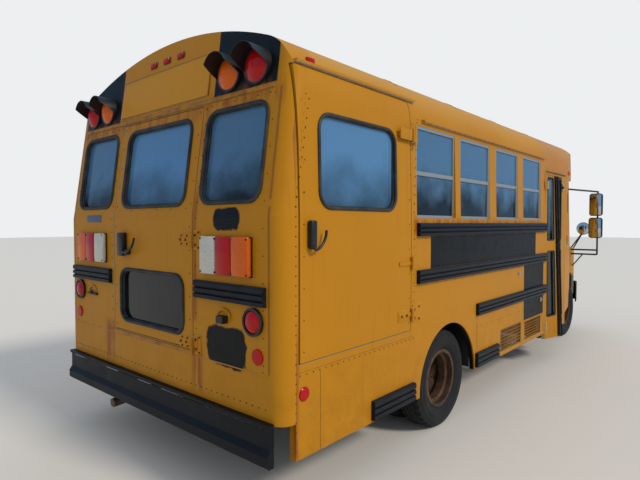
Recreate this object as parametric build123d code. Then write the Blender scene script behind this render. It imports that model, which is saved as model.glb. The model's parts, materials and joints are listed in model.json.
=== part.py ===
from build123d import *
import math
import os

# Short school bus on a cutaway van chassis, in millimetres.
# +X is the right side of the bus, +Y is forward, +Z is up, and the ground is Z = 0.

# Overall sizes
overall_length = 6645.0
body_width = 2438.0
wheelbase = 4013.0
rear_overhang = 1790.0
rear_bumper_reach = 45.0
rear_bumper_half = 1160.0
rear_bumper_z = (335.0, 558.0)
mirror_reach = 1400.0

# Body shell
wall = 45.0
cap_wall = 30.0
skirt_bottom = 350.0
belt_height = 1600.0
eave_height = 2244.0
tumblehome = 15.0
shoulder_radius = 350.0
crown_radius = 2700.0
rear_rake_slope = 0.14
rear_corner_radius = 90.0
roof_split = 2288.0
floor_top = 835.0
floor_thickness = 50.0
housing_top = 900.0
seam_gap = 6.0
swing_gap = 12.0
leaf_gap = 18.0
door_depth = 110.0
rear_wall_bottom = 545.0
glass_thickness = 6.0
pin_clearance = 0.3
hinge_standoff = 13.0
hinge_radius = 12.0
hinge_pin = 6.0

# Wheels
tyre_radius = 372.5
tyre_width = 216.0
bead_radius = 203.0
flange_radius = 221.0
rim_width = 165.0
dual_spacing = 258.0
rear_wheel_outer_face = 1170.0
front_wheel_outer_face = 993.0
kingpin_x = 760.0
arch_radius = 450.0
front_arch_radius = 465.0

# Stations along the bus, measured forward from the rear face
rear_cap_length = 330.0
side_seam_station = 100.0
lift_door_station = (119.0, 1220.0)
window_post_end = 4052.0
entrance_station = (4070.0, 4640.0)
front_post_end = 4836.0
driver_door_station = (4130.0, 5290.0)
cap_front_station = 5480.0
clip_rear_station = 5400.0
clip_taper_station = 6050.0
clip_front_station = 6500.0

# Heights of doors and windows
rear_door_x = (-482.0, 478.0)
rear_door_z = (822.0, 2262.0)
lift_door_z = (841.0, 2385.0)
entrance_z = (281.0, 2104.0)
driver_door_z = (560.0, 2085.0)
sill_height = 1602.0
mid_rail_height = 1913.0
header_height = 2237.0
cap_bottom = 2128.0
cab_belt = 1240.0
cab_half_width = 1010.0
cab_taper = 0.185
nose_half_width = 895.0
front_bumper_z = (425.0, 700.0)
front_arch_height = 422.0

# Chassis
rail_x = 430.0
rail_height = 180.0
rail_bottom = 560.0
rail_thickness = 8.0
rail_flange = 70.0

rear_face = -overall_length / 2 + rear_bumper_reach


def at(station):
    """Y of a place given by its distance forward from the rear face."""
    return rear_face + station


rear_axle_y = at(rear_overhang)
front_axle_y = rear_axle_y + wheelbase
front_end = overall_length / 2
half_width = body_width / 2
lean = math.asin((half_width - tumblehome - shoulder_radius) / (crown_radius - shoulder_radius))
crown_centre = eave_height - (crown_radius - shoulder_radius) * math.cos(lean)
crown_height = crown_centre + crown_radius
far = 2 * overall_length
leaf_thickness = 40.0
leaf_x = (half_width - leaf_thickness - 2, half_width - 2)


def block(x0, x1, y0, y1, z0, z1):
    """Axis-aligned box between two corners."""
    centre = Pos((x0 + x1) / 2, (y0 + y1) / 2, (z0 + z1) / 2)
    return centre * Box(x1 - x0, y1 - y0, z1 - z0)


def prism_x(face, x0, x1):
    """Extrude a (Y, Z) outline from x0 to x1."""
    return extrude(Pos(x0, 0, 0) * (Plane.YZ * face), amount=x1 - x0)


def prism_y(face, y0, y1):
    """Extrude an (X, Z) outline from y0 to y1."""
    return extrude(Pos(0, y1, 0) * (Plane.XZ * face), amount=y1 - y0)


def prism_z(face, z0, z1):
    """Extrude an (X, Y) outline from z0 to z1."""
    return extrude(Pos(0, 0, z0) * face, amount=z1 - z0)


def polygon(*points):
    """Face with straight sides through the points."""
    return make_face(Polyline(*points, close=True))


def rounded(u0, u1, v0, v1, radius):
    """Rectangle with round corners between two corners."""
    return Pos((u0 + u1) / 2, (v0 + v1) / 2) * RectangleRounded(u1 - u0, v1 - v0, radius)


def disc(u, v, radius):
    """Round face at (u, v)."""
    return Pos(u, v) * Circle(radius)


def rod_x(y, z, radius, x0, x1):
    """Round bar along X."""
    return prism_x(disc(y, z, radius), x0, x1)


def rod_y(x, z, radius, y0, y1):
    """Round bar along Y."""
    return prism_y(disc(x, z, radius), y0, y1)


def rod_z(x, y, radius, z0, z1):
    """Round bar along Z."""
    return prism_z(disc(x, y, radius), z0, z1)


def span(side, inner, outer):
    """Lower and upper X of a width given by its distances from the centre plane."""
    return sorted((side * inner, side * outer))


def mirrored(shape):
    """The same shape on the other side of the bus."""
    return mirror(shape, about=Plane.YZ)


def solids_of(*shapes):
    """All separate solids of some shapes, as one list."""
    found = []
    for shape in shapes:
        found.extend(shape.solids())
    return found


def save(name, *shapes):
    """Write the solids of a node to its STEP file."""
    found = solids_of(*shapes)
    node = found[0] if len(found) == 1 else Compound(children=found)
    export_step(node, "parts/" + name + ".step")


def section_face(inset, bottom):
    """Cross-section of the body: upright sides, shoulder arcs and a bowed crown."""
    half = half_width - inset
    top_half = half - tumblehome
    radius = shoulder_radius - inset
    shoulder_x = top_half - radius
    middle = (math.pi / 2 - lean) / 2
    eave = (top_half, eave_height)
    bend = (shoulder_x + radius * math.cos(middle), eave_height + radius * math.sin(middle))
    join = (shoulder_x + radius * math.sin(lean), eave_height + radius * math.cos(lean))
    crown = (0, crown_height - inset)
    edges = [
        Line((-half, bottom), (half, bottom)),
        Line((half, bottom), (half, belt_height)),
        Line((half, belt_height), eave),
        ThreePointArc(eave, bend, join),
        ThreePointArc(join, crown, (-join[0], join[1])),
        ThreePointArc((-join[0], join[1]), (-bend[0], bend[1]), (-eave[0], eave[1])),
        Line((-eave[0], eave[1]), (-half, belt_height)),
        Line((-half, belt_height), (-half, bottom)),
    ]
    return make_face(edges)


def rear_profile(inset, bottom, front):
    """Side outline of the body, upright below the belt and raked above it."""
    rear = rear_face + inset
    top = crown_height + 100
    raked = rear + rear_rake_slope * (top - belt_height)
    points = [(rear, bottom), (rear, belt_height), (raked, top), (front, top), (front, bottom)]
    return polygon(*points)


def corner_cut(inset):
    """What lies outside the round right rear corner, which leans with the walls above the belt."""
    radius = rear_corner_radius - inset
    x = half_width - inset
    y = rear_face + inset
    margin = 60.0
    middle = radius * (1 - math.sqrt(0.5))
    edges = [
        ThreePointArc((x - radius, y), (x - middle, y + middle), (x, y + radius)),
        Line((x, y + radius), (x + margin, y + radius)),
        Line((x + margin, y + radius), (x + margin, y - margin)),
        Line((x + margin, y - margin), (x - radius, y - margin)),
        Line((x - radius, y - margin), (x - radius, y)),
    ]
    face = make_face(edges)
    rise = crown_height + 100 - belt_height
    lean_in = tumblehome / (eave_height - belt_height)
    base = (Pos(0, 0, belt_height) * face).face()
    return prism_z(face, 0, belt_height) + Solid.extrude(base, Vector(-lean_in, rear_rake_slope, 1) * rise)


def body_envelope(inset, bottom, front):
    """Solid of the passenger body, shrunk by inset, with round rear corners."""
    solid = prism_y(section_face(inset, bottom), rear_face - 50, front)
    solid = solid & prism_x(rear_profile(inset, bottom, front), -half_width, half_width)
    corner = corner_cut(inset)
    return solid - corner - mirrored(corner)


def brow_face(inset, front_drop):
    """Side outline of the front cap: level roof, round brow and a steep front."""
    radius = 800.0 - inset
    start = at(4750.0)
    top = crown_height - inset
    turn = math.radians(48)
    middle = (start + radius * math.sin(turn / 2), top - radius + radius * math.cos(turn / 2))
    end = (start + radius * math.sin(turn), top - radius + radius * math.cos(turn))
    front = at(cap_front_station) - inset
    edges = [
        Line((at(window_post_end), front_drop), (at(window_post_end), top)),
        Line((at(window_post_end), top), (start, top)),
        ThreePointArc((start, top), middle, end),
        Line(end, (front - 10, cap_bottom + 120)),
        Line((front - 10, cap_bottom + 120), (front, front_drop)),
        Line((front, front_drop), (at(window_post_end), front_drop)),
    ]
    return make_face(edges)


def side_x_at(station):
    """Half width of the tapering front part at a station."""
    return half_width - cab_taper * max(0.0, station - front_post_end)


def taper_face(inset):
    """Plan of the front part: full width, then tapering to the cab."""
    wide = half_width - inset
    narrow = side_x_at(cap_front_station) - inset
    y0 = at(window_post_end)
    y1 = at(front_post_end)
    y2 = at(cap_front_station)
    return polygon((-wide, y0), (wide, y0), (wide, y1), (narrow, y2), (-narrow, y2), (-wide, y1))


def cap_envelope(inset, bottom):
    """Solid of the front cap, shrunk by inset."""
    solid = prism_y(section_face(inset, bottom), at(window_post_end), at(cap_front_station))
    solid = solid & prism_x(brow_face(inset, bottom), -half_width, half_width)
    return solid & prism_z(taper_face(inset), bottom, crown_height + 10)


body_front = at(window_post_end)
body_outer = body_envelope(0, skirt_bottom, body_front)
body_inner = body_envelope(wall, skirt_bottom - 10, body_front + 10)
body_shell = body_outer - body_inner


def opening_x(y0, y1, z0, z1, radius, x0, x1):
    """Rounded hole through a side wall."""
    return prism_x(rounded(y0, y1, z0, z1, radius), x0, x1)


def opening_y(x0, x1, z0, z1, radius, y0, y1):
    """Rounded hole through the rear wall."""
    return prism_y(rounded(x0, x1, z0, z1, radius), y0, y1)


# Side windows: rear edge and front edge of each sash, as stations
right_windows = ((1290, 1874), (1961, 2536), (2675, 3217), (3356, 3894))
left_windows = ((600, 1175),) + right_windows
# Rear windows beside the door: inner X, outer X, sill, header
rear_window = (535.0, 1048.0, 1681.0, 2208.0)
window_corner = 80.0


def side_openings(windows, side):
    """Window holes of one side wall."""
    x0, x1 = span(side, half_width - 100, half_width + 20)
    return [opening_x(at(start), at(end), sill_height, header_height, 20, x0, x1) for start, end in windows]


def wheel_arch(side):
    """Round arch cut over the rear wheels."""
    return rod_x(rear_axle_y, tyre_radius - 15, arch_radius, *span(side, 640, half_width + 50))


def front_arch(side):
    """Round arch over a front wheel, set a little above the axle."""
    return rod_x(front_axle_y, front_arch_height, front_arch_radius, *span(side, 520, half_width + 80))


def rear_slab(top):
    """The whole raked rear wall as a slab, up to a height."""
    outer = prism_x(rear_profile(-20, skirt_bottom, at(500)), -half_width, half_width)
    slab = outer - prism_x(rear_profile(wall, skirt_bottom - 10, at(510)), -far, far)
    return slab & block(-far, far, -far, far, 0, top)


def lift_opening(gap):
    """Doorway of the lift, or its door when shrunk by the gap."""
    y0 = at(lift_door_station[0]) + gap * swing_gap / seam_gap
    y1 = at(lift_door_station[1]) - gap
    inner = half_width - door_depth + gap
    return block(inner, half_width + 50, y0, y1, lift_door_z[0] + gap, lift_door_z[1] - gap)


def rear_opening(gap):
    """Doorway in the rear wall, or its door when shrunk by the gap."""
    x0 = rear_door_x[0] + gap * swing_gap / seam_gap
    x1 = rear_door_x[1] - gap
    return block(x0, x1, rear_face - 20, at(250), rear_door_z[0] + gap, rear_door_z[1] - gap)


# Skirt grilles: start, end, bottom, top, bars along, bars up
skirt_grilles = ((2797, 3334, 382, 594, 14, 5), (3428, 3934, 383, 579, 13, 5))
side_gutter_height = 2268.0
lift_gutter_height = 2392.0
lift_gutter_x = 1173.0


def side_wall(side):
    """Whole side wall with its windows and wheel arch."""
    x0, x1 = span(side, 1000, half_width + 10)
    panel = body_shell & block(x0, x1, at(side_seam_station), body_front, skirt_bottom, roof_split)
    windows = right_windows if side > 0 else left_windows
    for hole in side_openings(windows, side):
        panel = panel - hole
    return panel - wheel_arch(side) - rear_slab(roof_split)


def drip_rail(side, start, end, x, z):
    """Narrow gutter strip along the eave, let into the shell."""
    return block(*span(side, x - 18, x + 22), at(start), at(end), z, z + 13)


def make_right_wall():
    """Right wall with the lift doorway, the skirt grille holes and the entrance post."""
    panel = side_wall(1) - lift_opening(0)
    for start, end, z0, z1, _, _ in skirt_grilles:
        panel = panel - block(1100, half_width + 10, at(start), at(end), z0, z1)
    post_y = (body_front - 1, at(entrance_station[0]))
    post = block(half_width - wall, half_width, *post_y, skirt_bottom, cap_bottom)
    return panel + post + drip_rail(1, 1371, 4016, half_width - tumblehome, side_gutter_height)


def make_left_wall():
    """Left wall with the return panel where the narrower cab begins."""
    panel = side_wall(-1)
    back = block(-half_width + 1, -cab_half_width + 10, body_front - wall, body_front, 480, cap_bottom)
    return panel + back + drip_rail(-1, 170, 4016, half_width - tumblehome, side_gutter_height)


def make_rear_wall():
    """Rear wall with its rounded corners, doorway and two windows."""
    corner = block(-far, far, rear_face - 10, at(side_seam_station), 0, roof_split)
    area = (corner + rear_slab(roof_split)) & block(-far, far, -far, far, rear_wall_bottom, roof_split)
    panel = (body_shell & area) - rear_opening(0) - lift_opening(0)
    inner, outer, sill, head = rear_window
    for side in (1, -1):
        x0, x1 = span(side, inner, outer)
        panel = panel - opening_y(x0, x1, sill, head, window_corner, rear_face - 50, at(300))
    return panel


def make_rear_cap():
    """Rear end of the roof, down to the rear wall and the lift door."""
    edge = half_width + 10
    area = block(-edge, edge, rear_face - 10, at(rear_cap_length), roof_split, crown_height + 10)
    side = block(-edge, edge, at(side_seam_station), at(rear_cap_length), 0, roof_split)
    gutter = drip_rail(1, 138, rear_cap_length, lift_gutter_x, lift_gutter_height)
    return (body_shell & area) - side - lift_opening(0) + gutter


def make_roof():
    """Roof between the caps, with the gutter over the lift door."""
    edge = half_width + 10
    area = block(-edge, edge, at(rear_cap_length), body_front, roof_split, crown_height + 10)
    gutter = drip_rail(1, rear_cap_length, 1300, lift_gutter_x, lift_gutter_height)
    return (body_shell & area) - lift_opening(0) + gutter


def make_front_cap():
    """Moulded cap over the entrance and the windscreen, with its soffits."""
    shell = cap_envelope(0, cap_bottom) - cap_envelope(cap_wall, cap_bottom - 20)
    thickness = 22.0
    top = cap_bottom + thickness
    left = block(-half_width + 5, -cab_half_width + 60, body_front, at(front_post_end), cap_bottom, top)
    front = block(-1060, 1060, at(5200), at(cap_front_station) - 10, cap_bottom, cap_bottom + thickness)
    lip_z = (cap_bottom + 18, cap_bottom + 30)
    lip = block(half_width - 15, half_width + 16, at(4080), at(front_post_end), *lip_z)
    return shell + left + front + lip


# Plan of the cab: left side, windscreen arc, then the filler panel on the right
def cab_face(inset, raised):
    """Cab plan at the belt, or at the header when raised."""
    side = (900.0 if raised else cab_half_width) - inset
    corner = (850.0 if raised else 930.0) - inset
    side_front = at(5050.0 if raised else 5330.0) - inset / 2
    corner_front = at(5150.0 if raised else 5470.0) - inset
    nose = at(5250.0 if raised else 5600.0) - inset
    right = side_x_at(5150 if raised else 5470) - inset
    wide = half_width - inset
    y0 = at(driver_door_station[0] - 60)
    edges = [
        Line((-side, y0), (-side, side_front)),
        Line((-side, side_front), (-corner, corner_front)),
        ThreePointArc((-corner, corner_front), (0, nose), (corner, corner_front)),
        Line((corner, corner_front), (right, corner_front)),
        Line((right, corner_front), (wide, at(front_post_end))),
        Line((wide, at(front_post_end)), (wide, y0)),
        Line((wide, y0), (-side, y0)),
    ]
    return make_face(edges)


def cab_envelope(inset, bottom, top):
    """Solid of the cab: upright to the belt, leaning in above it."""
    lower = prism_z(cab_face(inset, False), bottom, cab_belt)
    base = Pos(0, 0, cab_belt) * cab_face(inset, False)
    roof = Pos(0, 0, top) * cab_face(inset, True)
    return lower + loft([base, roof], ruled=True)


def driver_door_face(gap, rear_gap):
    """Side outline of the driver's doorway, or of its door when shrunk by the gaps."""
    y0 = at(driver_door_station[0]) + rear_gap
    y1 = at(driver_door_station[1]) - gap
    y2 = at(5040) - gap
    z0 = driver_door_z[0] + gap
    z1 = driver_door_z[1] - gap
    return polygon((y0, z0), (y1, z0), (y1, 1250), (y2, z1), (y0, z1))


def make_cab_shell():
    """Cab sides, pillars and windscreen frame, open at the back and below."""
    outer = cab_envelope(0, 480, cap_bottom)
    inner = cab_envelope(wall, 470, cap_bottom + 1)
    shell = outer - inner
    shell = shell - block(0, far, at(4000), at(entrance_station[1]), 400, 2200)
    shell = shell - block(-far, 0, at(4000), at(driver_door_station[0] - 50), 400, 2200)
    shell = shell - block(-900, 1100, at(4000), at(4070) + 40, 400, 2200)
    shell = shell - prism_x(driver_door_face(0, 0), -1100, -780)
    shell = shell - windscreen_cut(0)
    shell = shell - prism_x(rounded(at(4950), at(5110), 1680, 1955, 50), 1000, 1300)
    shell = shell - prism_x(rounded(at(4950), at(5110), 1290, 1420, 30), 1000, 1300)
    shell = shell - front_arch(1) - front_arch(-1)
    shell = shell - block(-700, 700, at(5300), at(5700), 400, 760)
    return shell - block(-330, 330, at(5300), at(5700), 400, 1090)


def windscreen_cut(gap):
    """Tapering cut for the windscreen, seen from the front."""
    low = (1290 + gap, 850 - gap)
    high = (2080 - gap, 790 - gap)
    outline = polygon((-low[1], low[0]), (low[1], low[0]), (high[1], high[0]), (-high[1], high[0]))
    return prism_y(fillet(outline.vertices(), 60), at(5120), at(5700))


def clip_profile(inset):
    """Side outline of the front end: cowl, bonnet line, nose and grille."""
    points = (
        (at(clip_rear_station) + inset, 500 + inset),
        (at(clip_rear_station) + inset, 1235 - inset),
        (at(5640), 1270 - inset),
        (at(6150), 1205 - inset),
        (at(6400) - inset / 2, 1120 - inset),
        (at(6490) - inset, 1000 - inset / 2),
        (at(clip_front_station) - inset, 620),
        (at(6440) - inset, 500 + inset),
    )
    return polygon(*points)


def hood_height(y):
    """Height of the bonnet line between the cowl and its first bend."""
    return 1270 - (y - at(5640)) * (1270 - 1205) / (6150 - 5640)


def clip_plan(inset):
    """Plan of the front end: parallel past the wheels, then narrowing to round corners."""
    half = cab_half_width - inset
    nose = nose_half_width - inset
    outline = polygon(
        (-half, at(clip_rear_station) + inset),
        (half, at(clip_rear_station) + inset),
        (half, at(clip_taper_station)),
        (nose, at(clip_front_station) - inset),
        (-nose, at(clip_front_station) - inset),
        (-half, at(clip_taper_station)),
    )
    corners = outline.vertices().sort_by(Axis.Y)[-2:]
    return fillet(corners, 170 - inset)


hood_half_width = 720.0
grille_half_width = 560.0
lamp_outer_x = 820.0
nose_z = (700.0, 1060.0)
hood_rear = at(5660.0)
hood_front = at(6395.0)
clip_wall = 25.0


def clip_shell():
    """Hollow front end, open behind and below."""
    outer = prism_x(clip_profile(0), -cab_half_width, cab_half_width) & prism_z(clip_plan(0), 490, 1300)
    inner = prism_x(clip_profile(clip_wall), -far, far) & prism_z(clip_plan(clip_wall), 490, 1300)
    shell = outer - inner
    shell = shell - block(-960, 960, at(clip_rear_station) - 10, at(5640), 400, 1190)
    return shell - block(-960, 960, at(clip_rear_station) - 10, at(6450), 400, 540)


def make_fenders(shell):
    """Wings, nose frame and cowl: the front end without hood, grille and lamps."""
    part = shell - block(-hood_half_width, hood_half_width, hood_rear, hood_front, 1090, 1400)
    opening_half = lamp_outer_x + pin_clearance
    part = part - block(-opening_half, opening_half, at(6400), at(6600), *nose_z)
    for side in (1, -1):
        part = part - front_arch(side)
    part = part - block(-450, 450, at(6380), at(6520), 500, 660)
    return part - cab_envelope(0, 480, cap_bottom)


def make_hood(shell):
    """Hood panel, cut from the front end with gaps at its edges."""
    area = block(
        -hood_half_width + seam_gap,
        hood_half_width - seam_gap,
        hood_rear + seam_gap,
        hood_front - swing_gap,
        1090 + seam_gap,
        1400,
    )
    return shell & area


def make_grille():
    """Nose grille: frame with level bars between the headlamps."""
    y0 = at(6462)
    y1 = at(6490)
    half = grille_half_width
    inner = half - 30
    frame = block(-half, half, y0, y1, nose_z[0], 1055) - block(-inner, inner, y0 - 1, y1 + 1, 735, 1025)
    for step in range(5):
        z = 775 + step * 52
        frame = frame + block(-inner, inner, y0 + 6, y1 - 4, z, z + 18)
    for x in (-280, 0, 280):
        frame = frame + block(x - 10, x + 10, y0 + 4, y1 - 6, 735, 1025)
    return frame


def make_headlamps():
    """Two rectangular lamps with a side lamp below, in bezels beside the grille."""
    lamps = []
    for side in (1, -1):
        x0, x1 = span(side, grille_half_width + 0.4, lamp_outer_x)
        bezel = block(x0, x1, at(6445), at(6478), nose_z[0], 1050)
        lens = prism_y(rounded(x0 + 24, x1 - 24, 830, 1026, 25), at(6478), at(6488))
        signal = prism_y(rounded(x0 + 24, x1 - 24, 724, 806, 15), at(6478), at(6486))
        lamps.append(bezel + lens + signal)
    return lamps


def bumper_plan(inset):
    """Plan of the front bumper, wrapping round the front corners."""
    rear_half = cab_half_width - 10 - inset
    front_half = nose_half_width + 30 - inset
    front = front_end - inset
    ends = at(6230)
    outline = polygon((-rear_half, ends), (rear_half, ends), (front_half, front), (-front_half, front))
    return fillet(outline.vertices().sort_by(Axis.Y)[-2:], 190 - inset)


def make_front_bumper():
    """Pressed bumper that wraps round the corners, with its two brackets."""
    low, high = front_bumper_z
    sheet = 14.0
    inside = bumper_plan(sheet)
    bar = prism_z(bumper_plan(0), low, high) - prism_z(inside, low + sheet, high - sheet)
    open_part = prism_z(inside, low - 10, high + 10) & block(-far, far, at(6200), at(6510), 0, high + 10)
    bar = bar - open_part
    for side in (1, -1):
        x0, x1 = span(side, rail_x - 60, rail_x - 10)
        bar = bar + block(x0, x1, at(6440), front_end - 10, 560, 636)
    return bar


def rear_bumper_face(sheet):
    """Section of the rear bumper: top flange, upright face and a flared lower band."""
    low = rear_bumper_z[0] + sheet
    high = rear_bumper_z[1] - sheet
    reach = rear_bumper_reach - sheet
    points = (
        (-sheet, high), (reach - 8, high), (reach - 8, high - 18), (reach - 21, high - 30),
        (reach - 21, low + 95), (reach, low + 62), (reach, low + 12), (reach - 12, low), (-sheet, low),
    )
    return polygon(*((rear_face - distance, z) for distance, z in points))


def make_rear_bumper():
    """Bent-sheet bumper across the back, with stays up to the frame rails."""
    sheet = 7.0
    full = prism_x(rear_bumper_face(0), -rear_bumper_half, rear_bumper_half)
    inner_half = rear_bumper_half - sheet
    bar = full - prism_x(rear_bumper_face(sheet), -inner_half, inner_half)
    for side in (1, -1):
        x0, x1 = span(side, rail_x - 40, rail_x - 20)
        bar = bar + block(x0, x1, rear_face - 20, at(120), 400, 533)
        bar = bar + block(x0, x1, at(60), at(120), 400, rail_bottom)
    return bar


def make_floor():
    """Deck with wheel housings, cab floor and the entrance step well."""
    edge = half_width - wall
    bottom = floor_top - floor_thickness
    deck = block(-half_width, half_width, rear_face, body_front - wall, bottom, floor_top) & body_inner
    cab = block(-cab_half_width + wall, edge - 10, body_front - wall, at(5300), bottom, floor_top)
    cab = cab - block(1060, edge + 10, at(4850), at(5400), 0, 900)
    deck = deck + cab
    for side in (1, -1):
        x0, x1 = span(side, 660, edge)
        y0 = rear_axle_y - 470
        y1 = rear_axle_y + 470
        deck = deck - block(x0, x1, y0, y1, bottom - 1, floor_top + 1)
        box = block(x0, x1, y0, y1, bottom, housing_top)
        void = block(x0 + 12, x1 - 12, y0 + 12, y1 - 12, bottom - 1, housing_top - 12)
        open_side = block(*span(side, edge - 30, edge + 1), y0 + 12, y1 - 12, bottom - 1, housing_top - 12)
        deck = deck + (box - void - open_side)
    y0 = at(entrance_station[0]) + 2
    y1 = at(entrance_station[1]) - 2
    deck = deck - block(520, edge + 20, y0, y1, bottom - 1, floor_top + 1)
    plate = 14.0
    depth = (leaf_x[0] - seam_gap - plate - 520) / 3
    rise = 178.0
    for step in range(3):
        z = floor_top - (step + 1) * rise
        x0 = 520 + step * depth
        deck = deck + block(x0, x0 + depth + plate, y0, y1, z - plate, z)
        deck = deck + block(x0, x0 + plate, y0, y1, z - plate, z + rise)
    return deck


def make_chassis():
    """Ladder frame: channel rails, cross members, and the sills that carry the floor."""
    y0 = at(wall) + 10
    y1 = at(6440)
    rail_top = rail_bottom + rail_height
    frame = None
    for side in (1, -1):
        rail = block(*span(side, rail_x - rail_flange, rail_x), y0, y1, rail_bottom, rail_top)
        groove_x = span(side, rail_x - rail_flange - 1, rail_x - rail_thickness)
        groove = block(*groove_x, y0 - 1, y1 + 1, rail_bottom + rail_thickness, rail_top - rail_thickness)
        rail = rail - groove
        frame = rail if frame is None else frame + rail
    reach = rail_x - rail_thickness
    for station in (60, 1100, 2500, 3300, 4700, 6380):
        frame = frame + block(-reach, reach, at(station), at(station) + 60, 600, 690)
    edge = half_width - wall - 4
    for station in (80, 560, 1040, 2420, 2950, 3500, 3950):
        sill_y = (at(station), at(station) + 50)
        frame = frame + block(-edge, edge, *sill_y, rail_top, floor_top - floor_thickness)
    return frame


def make_rear_axle():
    """Live axle, leaf springs and driveshaft."""
    tube = rod_x(rear_axle_y, tyre_radius, 55, -690, 690)
    ball = Pos(0, rear_axle_y, tyre_radius) * Sphere(165)
    axle = tube + ball
    for side in (1, -1):
        x0, x1 = span(side, 690, 905)
        axle = axle + rod_x(rear_axle_y, tyre_radius, 34.7, x0, x1)
        x0, x1 = span(side, 455, 530)
        spring = polygon(
            (rear_axle_y - 700, rail_bottom),
            (rear_axle_y - 660, rail_bottom - 40),
            (rear_axle_y, tyre_radius + 50),
            (rear_axle_y + 660, rail_bottom - 40),
            (rear_axle_y + 700, rail_bottom),
            (rear_axle_y, tyre_radius + 110),
        )
        axle = axle + prism_x(spring, x0, x1)
        for station in (-700, 660):
            y = rear_axle_y + station
            axle = axle + block(*span(side, rail_x, 530), y, y + 40, rail_bottom - 40, rail_bottom + 60)
    shaft_start = Vector(0, rear_axle_y + 150, tyre_radius + 10)
    shaft_end = Vector(0, at(4690), 640)
    run = shaft_end - shaft_start
    shaft = extrude(Plane(origin=shaft_start, z_dir=run) * Circle(45), amount=run.length)
    return axle + shaft


def make_front_axle():
    """Beam axle with kingpins, coil springs and their seats."""
    z = tyre_radius
    beam = prism_y(
        polygon(
            (-kingpin_x, z + 30), (-640, z + 20), (-520, z - 60),
            (520, z - 60), (640, z + 20), (kingpin_x, z + 30),
            (kingpin_x, z - 30), (620, z - 40), (500, z - 130),
            (-500, z - 130), (-620, z - 40), (-kingpin_x, z - 30),
        ),
        front_axle_y - 30,
        front_axle_y + 30,
    )
    for side in (1, -1):
        x = side * kingpin_x
        beam = beam + rod_z(x, front_axle_y, 34, z - 45, z + 45)
        beam = beam + rod_z(x, front_axle_y, 14, z - 85, z + 85)
        spring = rod_z(side * 500, front_axle_y, 55, z - 65, rail_bottom + 60)
        seat_z = (rail_bottom + 60, rail_bottom + 72)
        seat = block(*span(side, rail_x, 560), front_axle_y - 70, front_axle_y + 70, *seat_z)
        beam = beam + spring + seat
    return beam


def make_knuckle(side):
    """Steering knuckle: two ears on the kingpin and the wheel spindle."""
    z = tyre_radius
    x = side * kingpin_x
    body = rod_z(x, front_axle_y, 34, z + 45.5, z + 80) + rod_z(x, front_axle_y, 34, z - 80, z - 45.5)
    x0, x1 = span(side, kingpin_x + 40, kingpin_x + 70)
    body = body + block(x0, x1, front_axle_y - 34, front_axle_y + 34, z - 80, z + 80)
    x0, x1 = span(side, kingpin_x, kingpin_x + 45)
    body = body + block(x0, x1, front_axle_y - 34, front_axle_y + 34, z + 45.5, z + 80)
    body = body + block(x0, x1, front_axle_y - 34, front_axle_y + 34, z - 80, z - 45.5)
    body = body - rod_z(x, front_axle_y, 14 + pin_clearance, z - 90, z + 90)
    x0, x1 = span(side, kingpin_x + 65, kingpin_x + 175)
    return body + rod_x(front_axle_y, z, 24.7, x0, x1)


def tyre_solid():
    """Tyre about the X axis, centred on the origin, with rounded shoulders and sidewalls."""
    half = tyre_width / 2
    bead = rim_width / 2 - 9 - pin_clearance
    seat = bead_radius + pin_clearance
    wall_end = tyre_radius - 26
    crown_end = tyre_radius - 2
    edges = [
        Line((-bead, seat), (bead, seat)),
        Line((bead, seat), (bead + 2, flange_radius + 1)),
        ThreePointArc((bead + 2, flange_radius + 1), (half, 292), (half - 18, wall_end)),
        ThreePointArc((half - 18, wall_end), (half - 25, tyre_radius - 9), (half - 42, crown_end)),
        ThreePointArc((half - 42, crown_end), (0, tyre_radius), (-half + 42, crown_end)),
        ThreePointArc((-half + 42, crown_end), (-half + 25, tyre_radius - 9), (-half + 18, wall_end)),
        ThreePointArc((-half + 18, wall_end), (-half, 292), (-bead - 2, flange_radius + 1)),
        Line((-bead - 2, flange_radius + 1), (-bead, seat)),
    ]
    face = Plane.XZ * make_face(edges)
    return revolve(face, Axis.X, 360)


def rim_solid(disc_x, bore, dish):
    """Steel rim about the X axis: flanged barrel, disc with hand holes and a hub bore."""
    half = rim_width / 2
    outer = bead_radius
    profile = polygon(
        (-half, flange_radius), (-half + 7, flange_radius), (-half + 7, outer), (half - 7, outer),
        (half - 7, flange_radius), (half, flange_radius), (half, outer - 8), (40, outer - 8),
        (30, outer - 30), (-30, outer - 30), (-40, outer - 8), (-half, outer - 8),
    )
    barrel = revolve(Plane.XZ * profile, Axis.X, 360)
    plate = polygon(
        (disc_x, bore), (disc_x + 10, bore), (disc_x + 10, 120), (disc_x + 10 + dish, 150),
        (disc_x + 10 + dish, outer - 6), (disc_x + dish, outer - 6), (disc_x + dish, 152), (disc_x, 122),
    )
    wheel_disc = revolve(Plane.XZ * plate, Axis.X, 360)
    for step in range(8):
        angle = math.radians(22.5 + 45 * step)
        y = 162 * math.cos(angle)
        z = 162 * math.sin(angle)
        wheel_disc = wheel_disc - rod_x(y, z, 19, disc_x - 80, disc_x + 120)
    return barrel + wheel_disc


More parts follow.
